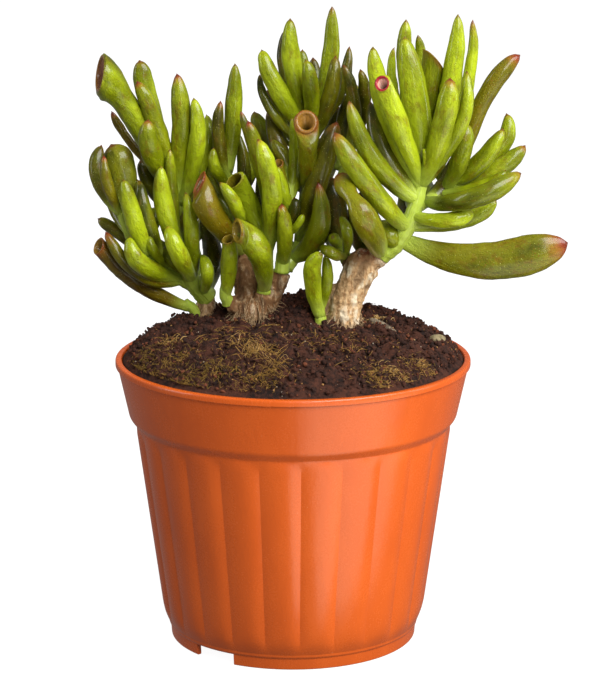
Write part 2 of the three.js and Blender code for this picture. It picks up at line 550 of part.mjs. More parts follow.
// Soil
function soilTop(x, y) {
  const { edge, heap, steepness, lump, lumpAt, lumpSpread, crumb } = soilSize;
  const out = min(1, hypot(x, y) / (potSize.collarTop - potSize.wall - clearance));
  const away = hypot(x - lumpAt[0], y - lumpAt[1]) / lumpSpread;
  const rough = sin(0.31 * x + 1.7) * cos(0.37 * y) + 0.6 * sin(0.83 * x - 0.6 * y) * cos(0.7 * y + 2);
  return edge + heap * (1 - out ** steepness) + lump * exp(-(away ** 2) / 2)
    + (crumb * rough + clods(x, y)) * (1 - out ** 8);
}

// Mounds that stand about evenly, each a little out of line with the next
function clods(x, y) {
  const k = (2 * PI) / soilSize.clodApart;
  const wave = sin(k * x + 0.9 * sin(0.5 * k * y)) * sin(k * y + 0.9 * sin(0.45 * k * x + 1));
  return soilSize.clod * max(0, wave) ** 0.8 - 0.25 * soilSize.clod;
}

function innerWall(grow) {
  const p = potSize;
  const slope = (p.bodyTop - p.bodyFoot) / (p.bodyTopHeight - p.footHeight);
  const floor = p.footHeight + p.plate + 1;
  return {
    floor: floor + grow,
    foot: p.bodyFoot + slope * (floor - p.footHeight) - p.cornerPull - p.wall - p.fluteDepth - grow,
    top: p.bodyTop - p.wall - p.fluteDepth - grow,
    topHeight: p.bodyTopHeight + 0.6 + grow,
    ledge: p.collarFoot - p.wall - grow,
    ledgeHeight: p.collarFootHeight + 0.8 + grow,
    rim: p.collarTop - p.wall - grow,
  };
}

function soilSolid() {
  const w = innerWall(clearance);
  const wallRings = [
    [w.foot, w.floor], [w.top, w.topHeight], [w.ledge, w.ledgeHeight],
  ];
  const turnsOf = (radius, height) => Array.from({ length: soilSize.spokes }, (_, i) => {
    const turn = (i * 2 * PI) / soilSize.spokes;
    const [x, y] = [radius * cos(turn), radius * sin(turn)];
    return vec(x, y, height ?? soilTop(x, y));
  });
  const rings = wallRings.map(([radius, height]) => turnsOf(radius, height));
  for (let k = soilSize.rings; k > 0; k--) {
    rings.push(turnsOf(w.rim * (k / soilSize.rings) ** 0.8));
  }
  return skin(rings, vec(0, 0, w.floor), vec(0, 0, soilTop(0, 0)));
}

// Pot
function potProfile() {
  const p = potSize;
  const w = innerWall(0);
  const footTop = p.footHeight;
  const line = (z) => p.bodyFoot + ((p.bodyTop - p.bodyFoot) * (z - footTop)) / (p.bodyTopHeight - footTop);
  return [
    [0, w.floor - p.plate], [p.foot - p.footWall, w.floor - p.plate],
    [p.foot - p.footWall - 0.3, 0], [p.foot - 0.3, 0], [p.foot, footTop],
    [line(footTop) - p.cornerPull, footTop], [line(p.cornerHeight), p.cornerHeight],
    [p.bodyTop, p.bodyTopHeight], [p.collarFoot, p.collarFootHeight],
    [p.collarTop, p.height - p.bead], [p.rim, p.height - p.bead], [p.rim, p.height - 0.5],
    [p.rim - 0.5, p.height], [w.rim, p.height],
    [w.ledge, w.ledgeHeight], [w.top, w.topHeight], [w.foot, w.floor],
    [0, w.floor],
  ];
}

// Each flute swells out from a sharp crease to a crest and falls faster to the next crease
function fluteSwell(turn) {
  const p = potSize;
  const period = 360 / p.flutes;
  const share = ((((turn - p.firstCrease) % period) + period) % period) / period;
  const rise = share < p.fluteCrest ? share / p.fluteCrest : (1 - share) / (1 - p.fluteCrest);
  return p.fluteDepth * (1 - (1 - rise) ** 2);
}

function potSolid() {
  const p = potSize;
  const points = potProfile().map(([r, z]) => new THREE.Vector2(r, z));
  const shell = new THREE.LatheGeometry(points, p.flutes * p.stepsPerFlute);
  shell.rotateX(PI / 2); // the lathe's axis becomes +Z
  shell.rotateZ(rad(p.firstCrease));
  const place = shell.attributes.position;
  const w = innerWall(0);
  for (let i = 0; i < place.count; i++) {
    const [x, y, z] = [place.getX(i), place.getY(i), place.getZ(i)];
    const radius = hypot(x, y);
    const onBody = z > 6.5 && z < p.bodyTopHeight + 0.1 && radius > w.foot + 2;
    const isOuter = onBody && radius > (p.bodyFoot - 2.2) + ((p.bodyTop - p.bodyFoot) * (z - 4)) / 71;
    if (!isOuter) continue;
    const turn = THREE.MathUtils.radToDeg(Math.atan2(x, -y)); // 0 at the front, growing to the right
    const fade = smooth(4, p.cornerHeight, z);
    const grown = (radius - p.fluteDepth * 0.5 + fluteSwell(turn) * fade) / radius;
    place.setXY(i, x * grown, y * grown);
  }
  let solid = toSolid(shell);
  for (const [left, right] of p.notches) solid = solid.subtract(notch(left, right));
  for (let i = 0; i < p.drainHoles; i++) {
    const turn = ((i + 0.5) * 2 * PI) / p.drainHoles;
    const hole = new THREE.CylinderGeometry(p.drainRadius, p.drainRadius, 12, 8);
    hole.rotateX(PI / 2);
    hole.translate(p.drainRing * cos(turn), p.drainRing * sin(turn), 6);
    solid = solid.subtract(toSolid(hole));
  }
  return solid;
}

// A wedge that opens the foot ring between two bearings
function notch(left, right) {
  const p = potSize;
  const shape = new THREE.Shape();
  const inner = p.foot - p.footWall - 2;
  const outer = p.foot + 3;
  const corner = (radius, turn) => [radius * sin(rad(turn)), -radius * cos(rad(turn))];
  const steps = 6;
  const turns = Array.from({ length: steps + 1 }, (_, i) => left + ((right - left) * i) / steps);
  const outline = [...turns.map((t) => corner(outer, t)), ...turns.reverse().map((t) => corner(inner, t))];
  shape.setFromPoints(outline.map(([x, y]) => new THREE.Vector2(x, y)));
  const wedge = new THREE.ExtrudeGeometry(shape, { depth: p.footHeight - 0.1 + 1, bevelEnabled: false });
  wedge.translate(0, 0, -1);
  return toSolid(wedge);
}

// Woody stems
function trunkSolid(trunk, grow = 0) {
  const parts = trunk.paths.map((path, i) => {
    const points = path.map(seen);
    const radii = path.map((row) => row[3]);
    if (i === 0) {
      const foot = points[0].clone();
      points.unshift(vec(foot.x, foot.y, foot.z - rootDepth));
      radii.unshift(radii[0] * 0.8);
    }
    return limb(points, radii, barkSides, 2, grow);
  });
  return wasm.Manifold.union(parts);
}

function stemSolid(stem, grow = 0) {
  const points = stem.path.map(seen);
  const radii = points.map((_, i) =>
    THREE.MathUtils.lerp(stem.thick[0], stem.thick[1], i / (points.length - 1)));
  return limb(points, radii, stemSides, 1, grow);
}

// Loose things on the soil
const pebble = { halfSize: [3, 2.4, 1.9], at: [48.4, -5.5], turn: 20, raised: 0.5 };
const chip = {
  outline: [[-6.4, -0.9], [-5, -1.5], [1, -1.4], [5.2, -0.8], [6.3, 0.2], [3, 1.3], [-2, 1.4], [-5.6, 0.6]],
  thick: 1.7, at: [30.5, -2], tilt: 12, turn: -48, raised: 0.6,
};

function pebbleSolid(grow = 0) {
  const stone = new THREE.IcosahedronGeometry(1, 1);
  stone.scale(...pebble.halfSize.map((half) => half + grow));
  stone.rotateZ(rad(pebble.turn));
  stone.translate(...pebble.at, soilTop(...pebble.at) + pebble.raised);
  return toSolid(stone);
}

function chipSolid(grow = 0) {
  const halfLength = chip.outline[4][0];
  const wider = [1 + grow / halfLength, 1 + grow];
  const corners = chip.outline.map(([x, y]) => new THREE.Vector2(x * wider[0], y * wider[1]));
  const depth = chip.thick + 2 * grow;
  const flake = new THREE.ExtrudeGeometry(new THREE.Shape(corners), { depth, bevelEnabled: false });
  flake.translate(0, 0, -depth / 2);
  flake.rotateY(rad(chip.tilt));
  flake.rotateZ(rad(chip.turn));
  flake.translate(...chip.at, soilTop(...chip.at) + chip.raised);
  return toSolid(flake);
}

// A plant piece must not be cut through, so only its largest body is kept
function largest(solid) {
  const bodies = solid.decompose();
  return bodies.reduce((a, b) => (b.volume() > a.volume() ? b : a));
}

// Assembly
const plant = new THREE.Group();
const crops = stems.map((stem, index) => growLeaves(stem, index));
const obstacles = [];
stems.forEach((stem, index) => {
  const curve = new THREE.CatmullRomCurve3(stem.path.map(seen));
  for (let i = 0; i <= 16; i++) {
    const r = THREE.MathUtils.lerp(stem.thick[0], stem.thick[1], i / 16);
    obstacles.push({ at: curve.getPoint(i / 16), r, stem: index });
  }
});
trunks.forEach((trunk) => trunk.paths.forEach((path) => {
  const curve = new THREE.CatmullRomCurve3(path.map(seen));
  for (let i = 0; i <= 12; i++) {
    const place = (i / 12) * (path.length - 1);
    const k = min(Math.floor(place), path.length - 2);
    const r = THREE.MathUtils.lerp(path[k][3], path[k + 1][3], place - k);
    obstacles.push({ at: curve.getPoint(i / 12), r, stem: -1 });
  }
}));
settle(crops.flat(), obstacles);

const holes = [pebbleSolid(clearance), chipSolid(clearance)];
for (const trunk of trunks) {
  plant.add(toMesh(trunk.name, trunkSolid(trunk), looks.bark));
  holes.push(trunkSolid(trunk, clearance));
}
let taken = wasm.Manifold.union(trunks.map((trunk) => trunkSolid(trunk, clearance)));
stems.forEach((stem, index) => {
  const green = (grow) =>
    wasm.Manifold.union([stemSolid(stem, grow), ...crops[index].map((leaf) => leafSolid(leaf, grow))]);
  plant.add(toMesh(stem.name, largest(green(0).subtract(taken)), looks.leaf));
  taken = taken.add(green(clearance));
  if (stem.name.startsWith('shoot_low')) holes.push(stemSolid(stem, clearance));
});
plant.add(toMesh('pot', potSolid(), looks.pot));
plant.add(toMesh('soil', largest(soilSolid().subtract(wasm.Manifold.union(holes))), looks.soil));
plant.add(toMesh('pebble', pebbleSolid(), looks.pebble));
plant.add(toMesh('bark_chip', chipSolid(), looks.chip));

// The origin goes to the middle of the whole plant's box, at the level of the pot's foot
const middle = new THREE.Box3().setFromObject(plant).getCenter(vec(0, 0, 0));
plant.position.set(-middle.x, -middle.y, 0);

export default plant;
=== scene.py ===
# Potted jade plant: leaves, stems, bark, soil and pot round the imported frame.
import bpy
import math
import numpy as np
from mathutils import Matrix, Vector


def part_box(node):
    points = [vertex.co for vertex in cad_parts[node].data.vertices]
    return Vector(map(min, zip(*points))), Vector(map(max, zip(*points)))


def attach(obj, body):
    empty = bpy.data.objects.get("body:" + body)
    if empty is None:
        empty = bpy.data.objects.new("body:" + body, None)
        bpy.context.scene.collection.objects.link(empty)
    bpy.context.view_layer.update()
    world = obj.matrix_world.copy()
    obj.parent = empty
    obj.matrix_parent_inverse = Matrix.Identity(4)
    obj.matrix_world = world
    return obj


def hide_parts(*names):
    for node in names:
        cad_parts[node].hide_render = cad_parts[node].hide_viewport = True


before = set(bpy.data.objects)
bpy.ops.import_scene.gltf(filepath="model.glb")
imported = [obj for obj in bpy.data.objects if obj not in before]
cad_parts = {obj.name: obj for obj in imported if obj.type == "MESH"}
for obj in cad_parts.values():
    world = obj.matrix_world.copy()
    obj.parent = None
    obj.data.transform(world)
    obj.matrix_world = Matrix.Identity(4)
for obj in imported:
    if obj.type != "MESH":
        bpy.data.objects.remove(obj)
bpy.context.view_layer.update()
print("frame loaded:", len(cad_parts), "nodes")

# Everything is worked out in millimetres about the pot's axis, with z = 0 under its foot,
# and goes to metres in the frame when a mesh is made.
mm = 0.001
potLow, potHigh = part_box("pot")
potAxis = np.array([(potLow.x + potHigh.x) / 2, (potLow.y + potHigh.y) / 2, 0])

view = {
    "eye": (2.36, -946, 329.2),
    "pitch": 13.5,  # degrees that the camera looks down
    "lens": 151.8, "film": 36,  # mm
    "reach": 50,  # metres to which the camera sees
    "planeAway": 960,  # where the upright plane lies that leaf places are given in
    "planeMiddle": (2.333, 4.5),
}
pitch = math.radians(view["pitch"])
eye = np.array(view["eye"], float)
sight = np.array([0, math.cos(pitch), -math.sin(pitch)])
upright = np.array([0, math.sin(pitch), math.cos(pitch)])


def seen(place):
    # a place is (across, up, back): across and up in the upright picture plane, from the rim's middle
    across, up, back = place[:3]
    ray = sight * view["planeAway"] + upright * (up - view["planeMiddle"][1])
    ray[0] += across - view["planeMiddle"][0]
    return eye + ray * ((back - eye[1]) / ray[1])


def unit(v):
    return v / np.maximum(np.linalg.norm(v, axis=-1, keepdims=True), 1e-12)


def smoothStep(low, high, t):
    s = np.clip((t - low) / (high - low), 0, 1)
    return s * s * (3 - 2 * s)


def roundTurn(sides):
    # angles once round, in equal steps
    return np.arange(sides) * 2 * np.pi / sides


def bearing(turn, rise=0.0):
    # a way out from the axis: turn is 0 at the front and grows to the right, rise is from the floor
    return np.array([math.sin(turn) * math.cos(rise), -math.cos(turn) * math.cos(rise), math.sin(rise)])


def fieldNoise(points, size, seed=0):
    # a smooth random field from -1 to 1, whose lumps are about size across
    p = np.asarray(points, float) / size + 0.37 * seed
    cell = np.floor(p).astype(np.int64)
    f = p - cell
    f = f * f * (3 - 2 * f)
    total = np.zeros(len(p))
    for corner in np.ndindex(2, 2, 2):
        c = cell + np.array(corner)
        h = (c[:, 0] * 73856093) ^ (c[:, 1] * 19349663) ^ (c[:, 2] * 83492791) ^ (seed * 2654435)
        h = ((h ^ (h >> 13)) * 1274126177) & 0x7FFFFFFF
        h = ((h ^ (h >> 15)) * 668265263) & 0x7FFFFFFF
        weight = np.prod(np.where(np.array(corner) == 1, f, 1 - f), axis=1)
        total += weight * ((h % 65536) / 32768 - 1)
    return total


def linear(red, green, blue):
    # a colour as picked on screen, 0 to 255, to the linear values that shaders use
    parts = [c / 255 for c in (red, green, blue)]
    return (*[c / 12.92 if c < 0.04045 else ((c + 0.055) / 1.055) ** 2.4 for c in parts], 1)


def palette(**colours):
    return {name: linear(*colour) for name, colour in colours.items()}


class Flow:
    # wraps a shader socket, so that shader maths reads as a plain expression
    def __init__(self, tree, socket=None):
        self.tree = tree
        self.socket = socket

    def node(self, kind, settings, inputs, out=0):
        made = self.tree.nodes.new("ShaderNode" + kind)
        for name, value in settings.items():
            setattr(made, name, value)
        for key, value in inputs.items():
            if isinstance(value, Flow):
                self.tree.links.new(value.socket, made.inputs[key])
            else:
                made.inputs[key].default_value = value
        return Flow(self.tree, made.outputs[out])

    def maths(self, operation, first, second, clamp=False):
        return self.node("Math", {"operation": operation, "use_clamp": clamp}, {0: first, 1: second})

    def __add__(self, other):
        return self.maths("ADD", self, other)

    def __radd__(self, other):
        return self.maths("ADD", other, self)

    def __sub__(self, other):
        return self.maths("SUBTRACT", self, other)

    def __rsub__(self, other):
        return self.maths("SUBTRACT", other, self)

    def __mul__(self, other):
        return self.maths("MULTIPLY", self, other)

    def __rmul__(self, other):
        return self.maths("MULTIPLY", other, self)

    def capped(self):
        return self.maths("ADD", self, 0.0, clamp=True)

    def step(self, low, high):
        # 0 below low, 1 above high and a smooth rise between them
        ends = {0: self, 1: low, 2: high, 3: 0.0, 4: 1.0}
        return self.node("MapRange", {"interpolation_type": "SMOOTHSTEP"}, ends)

    def blend(self, first, second):
        # self is the share of the second colour
        settings = {"data_type": "RGBA", "clamp_factor": True}
        return self.node("Mix", settings, {0: self, 6: first, 7: second}, out=2)

    def mark(self, name, out="Fac"):
        # a value that the mesh carries for each of its points
        return self.node("Attribute", {"attribute_name": name}, {}, out)

    def stretched(self, x, y, z):
        return self.node("VectorMath", {"operation": "MULTIPLY"}, {0: self, 1: (x, y, z)})

    def noise(self, scale, detail, rough=0.5):
        inputs = {"Vector": self, "Scale": scale, "Detail": detail, "Roughness": rough}
        return self.node("TexNoise", {}, inputs)

    def cells(self, scale):
        return self.node("TexVoronoi", {}, {"Vector": self, "Scale": scale})

    def bump(self, distance, strength=1.0):
        inputs = {"Height": self, "Distance": distance, "Strength": strength}
        return self.node("Bump", {}, inputs)


def surface(name, fixed, paint):
    # fixed holds what is the same all over; paint gives colour, roughness and, if it isn't flat, a bump
    material = bpy.data.materials.new(name)
    material.use_nodes = True
    tree = material.node_tree
    shader = tree.nodes["Principled BSDF"]
    for key, value in fixed.items():
        shader.inputs[key].default_value = value
    for key, value in zip(("Base Color", "Roughness", "Normal"), paint(Flow(tree))):
        tree.links.new(value.socket, shader.inputs[key])
    return material


def layered(colours, first, coats):
    # a colour under coats, each a share from 0 to 1 and the name of the colour that it brings
    colour = colours[first]
    for share, name in coats:
        colour = share.blend(colour, colours[name])
    return colour


def addMesh(name, where, faces):
    # a bare object; faces is a list of arrays, each with rows of 3 or of 4 point numbers
    mesh = bpy.data.meshes.new(name)
    sizes = np.concatenate([np.full(len(f), f.shape[1]) for f in faces])
    starts = np.concatenate([[0], np.cumsum(sizes)[:-1]])
    corners = np.concatenate([f.ravel() for f in faces])
    mesh.vertices.add(len(where))
    mesh.vertices.foreach_set("co", np.asarray(where, np.float32).ravel())
    mesh.loops.add(len(corners))
    mesh.loops.foreach_set("vertex_index", corners.astype(np.int32))
    mesh.polygons.add(len(sizes))
    mesh.polygons.foreach_set("loop_start", starts.astype(np.int32))
    mesh.update(calc_edges=True)
    thing = bpy.data.objects.new(name, mesh)
    bpy.context.scene.collection.objects.link(thing)
    return thing


def makePiece(name, points, faces, material, slot, replaced=(), marks=None, sharpAngle=None):
    # points in mm about the pot's axis; marks are named values for each point
    piece = addMesh(name, np.asarray(points) * mm + potAxis, faces)
    mesh = piece.data
    for key, values in {"place": points, **(marks or {})}.items():
        addMark(mesh, key, values)
    mesh.polygons.foreach_set("use_smooth", np.ones(len(mesh.polygons), bool))
    if sharpAngle:
        mesh.set_sharp_from_angle(angle=math.radians(sharpAngle))
    mesh.materials.append(material)
    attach(piece, "root")
    if replaced:
        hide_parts(*replaced)


def addMark(mesh, name, values):
    values = np.asarray(values, np.float32)
    if values.ndim == 2:
        mesh.attributes.new(name, "FLOAT_VECTOR", "POINT").data.foreach_set("vector", values.ravel())
    else:
        mesh.attributes.new(name, "FLOAT", "POINT").data.foreach_set("value", values)


class Shell:
    # gathers closed skins of rings of points into one mesh, with values for each point
    def __init__(self):
        self.points = []
        self.faces = []
        self.marks = {}
        self.count = 0

    def add(self, rings, start, end, marks=None):
        # rings is (rings, sides, 3), start and end close it, and a mark is one value or one for each point
        many, sides = rings.shape[:2]
        self.points.append(np.concatenate([[start], rings.reshape(-1, 3), [end]]))
        count = many * sides + 2
        first = self.count + 1
        i = np.arange(sides)
        j = (i + 1) % sides
        k = np.arange(many - 1)[:, None] * sides + first
        quads = np.stack([k + i, k + j, k + sides + j, k + sides + i], axis=-1).reshape(-1, 4)
        last = first + (many - 1) * sides
        foot = np.stack([np.full(sides, self.count), first + j, first + i], axis=-1)
        top = np.stack([np.full(sides, last + sides), last + i, last + j], axis=-1)
        self.faces.append((quads, np.concatenate([foot, top])))
        for key, values in (marks or {}).items():
            self.marks.setdefault(key, []).append(values if np.ndim(values) else np.full(count, values))
        self.count += count

    def whole(self):
        return np.concatenate(self.points), [np.concatenate(kind) for kind in zip(*self.faces)]

    def piece(self, name, material, slot, replaced=()):
        marks = {key: np.concatenate(values) for key, values in self.marks.items()}
        makePiece(name, *self.whole(), material, slot, replaced, marks)


def ringsRound(centres, x, y, wide, deep, sides):
    # wide and deep are one value for each ring, or one for each point of each ring
    turn = roundTurn(sides)
    wide, deep = (size[:, None] if size.ndim == 1 else size for size in (wide, deep))
    across = (np.cos(turn) * wide)[:, :, None] * x[:, None, :]
    over = (np.sin(turn) * deep)[:, :, None] * y[:, None, :]
    return centres[:, None, :] + across + over


def curvePoints(points, shares):
    # a centripetal Catmull-Rom curve through points, at shares from 0 to 1
    points = np.asarray(points, float)
    p = np.array([2 * points[0] - points[1], *points, 2 * points[-1] - points[-2]])
    place = np.atleast_1d(shares) * (len(points) - 1)
    i = np.minimum(np.floor(place).astype(int), len(points) - 2)
    w = (place - i)[:, None]
    a, b, c, d = p[i], p[i + 1], p[i + 2], p[i + 3]
    gap = [np.linalg.norm(v, axis=1, keepdims=True) ** 0.5 for v in (b - a, c - b, d - c)]
    t1 = ((b - a) / gap[0] - (c - a) / (gap[0] + gap[1]) + (c - b) / gap[1]) * gap[1]
    t2 = ((c - b) / gap[1] - (d - b) / (gap[1] + gap[2]) + (d - c) / gap[2]) * gap[1]
    return b + t1 * w + (3 * (c - b) - 2 * t1 - t2) * w ** 2 + (2 * (b - c) + t1 + t2) * w ** 3


def radiusAlong(radii, shares):
    return np.interp(shares * (len(radii) - 1), np.arange(len(radii)), radii)


def limbRings(points, radii, steps):
    # centres, frames and radii of rings round a curve whose radius changes from point to point
    shares = np.linspace(0, 1, steps)
    centres = curvePoints(points, shares)
    along = unit(curvePoints(points, np.minimum(shares + 1e-4, 1))
                 - curvePoints(points, np.maximum(shares - 1e-4, 0)))
    x = np.zeros_like(along)
    carried = np.array([0.0, 1, 0])
    for k in range(steps):
        carried = unit(carried - along[k] * carried.dot(along[k]))
        x[k] = carried
    return centres, x, np.cross(along, x), along, radiusAlong(radii, shares)


def limbEnds(centres, along, radii):
    # the points that close a limb, a little past its first and last ring
    return centres[0] - along[0] * 0.45 * radii[0], centres[-1] + along[-1] * 0.45 * radii[-1]


def addLimb(shell, points, radii, sides, steps, marks=None):
    centres, x, y, along, radius = limbRings(points, radii, steps)
    shell.add(ringsRound(centres, x, y, radius, radius, sides), *limbEnds(centres, along, radii), marks)


# Sizes that pot, soil and leaves share
potSize = {
    "height": 97.1, "rim": 60, "bead": 2.2, "wall": 1.4,
    "collarTop": 59.3, "collarFoot": 55.5, "collarFootHeight": 77.6,
    "bodyTop": 53.3, "bodyTopHeight": 75, "bodyFoot": 43.6, "cornerHeight": 10, "cornerPull": 1.2,
    "foot": 42.2, "footHeight": 4, "footWall": 1.6, "plate": 1.6,
    "flutes": 24, "fluteDepth": 0.85, "fluteCrest": 0.62, "firstCrease": 3,
    "notches": [(-50, -28), (130, 152)], "drainHoles": 8, "drainRing": 30, "drainRadius": 3.5,
}


def bodyRadius(z):
    # the pot's flared body at a height, without its flutes
    p = potSize
    slope = (p["bodyTop"] - p["bodyFoot"]) / (p["bodyTopHeight"] - p["footHeight"])
    return p["bodyFoot"] + slope * (z - p["footHeight"])


soilSize = {
    "edge": 96.4, "heap": 11.5, "steepness": 6, "crumb": 0.7,
    "lump": 7.3, "lumpAt": (1.5, 13), "lumpSpread": 9.5,
    "clod": 2.2, "clodApart": 15,  # low mounds of earth and moss
    "clearance": 0.3,
}


def soilTop(x, y):
    s = soilSize
    wall = potSize["collarTop"] - potSize["wall"] - s["clearance"]
    out = np.minimum(1, np.hypot(x, y) / wall)
    away = np.hypot(x - s["lumpAt"][0], y - s["lumpAt"][1]) / s["lumpSpread"]
    rough = np.sin(0.31 * x + 1.7) * np.cos(0.37 * y) + 0.6 * np.sin(0.83 * x - 0.6 * y) * np.cos(0.7 * y + 2)
    return (s["edge"] + s["heap"] * (1 - out ** s["steepness"]) + s["lump"] * np.exp(-(away ** 2) / 2)
            + (s["crumb"] * rough + clods(x, y)) * (1 - out ** 8))


def clods(x, y):
    # mounds that stand about evenly, each a little out of line with the next
    k = 2 * np.pi / soilSize["clodApart"]
    wave = np.sin(k * x + 0.9 * np.sin(0.5 * k * y)) * np.sin(k * y + 0.9 * np.sin(0.45 * k * x + 1))
    return soilSize["clod"] * np.maximum(0, wave) ** 0.8 - 0.25 * soilSize["clod"]


def onSoil(at, lift):
    return np.array([*at, soilTop(*at) + lift])


# Woody stems: (across, up, back, radius) up each path. The first path goes on down into the soil.
trunks = [
    {"name": "trunk_left", "paths": [[(-29, 13, 20, 3.2), (-29, 16.5, 20, 3), (-28.8, 19.6, 20, 2.6)]]},
    {"name": "trunk_middle", "paths": [
        [(-13, 11.5, 9, 5.6), (-13.3, 15.5, 9, 6), (-13.4, 18.5, 9, 5.4)],
        [(-14.5, 15, 10, 4), (-15.4, 22, 11.5, 3.4), (-16.2, 28, 13.5, 2.7), (-16.5, 33.3, 15, 2.1)],
        [(-11, 16, 8.5, 3.4), (-9.6, 20.4, 6.6, 2.5)],
        [(-9, 16.5, 9, 3.2), (-5.8, 21.5, 8, 2.2), (-3.8, 27.4, 7.6, 2.4)],
        [(-15, 15.5, 9, 3), (-21, 17.4, 8, 2.1)],
    ]},
    {"name": "trunk_right", "paths": [
        [(17, 8.5, 1, 4.9), (18, 18, 1, 4.8), (20.6, 24.5, 1.5, 5.1), (23.4, 30, 2, 5.5), (25.6, 33, 2, 4)],
        [(24, 30.5, 2, 4), (29.4, 33.6, 0, 3.2)],
        [(21, 28, 2.5, 3.2), (18.2, 31.4, 6.2, 2.2)],
        [(13, 10.5, 2.5, 2.4), (12.6, 17, 3, 2), (15.5, 22.5, 2.6, 2.4)],
    ]},
]


# Leaves
forms = {
    "finger": {"root": 0.6, "full": 0.5, "shoulder": 0.42, "power": 2.7, "thick": 0.9},
    "blunt": {"root": 0.6, "full": 0.5, "shoulder": 0.72, "power": 2.4, "thick": 0.9},
    "spoon": {"root": 0.45, "full": 0.82, "shoulder": 0.76, "power": 2.1, "thick": 0.75},
    "paddle": {"root": 0.34, "full": 0.8, "shoulder": 0.74, "power": 2.1, "thick": 0.45},
    "bottle": {"root": 0.6, "full": 0.42, "shoulder": 0.4, "power": 1.7, "thick": 0.9},
    "knob": {"root": 0.55, "full": 0.38, "shoulder": 0.8, "power": 2.2, "thick": 0.8, "waist": 0.42},
    "cup": {"root": 0.5, "full": 0.65, "shoulder": 1, "power": 2, "thick": 0.92},
}
waistAt = {"middle": 0.74, "spread": 0.14}
flareFrom = 0.62  # where a cup leaf starts to widen to its mouth

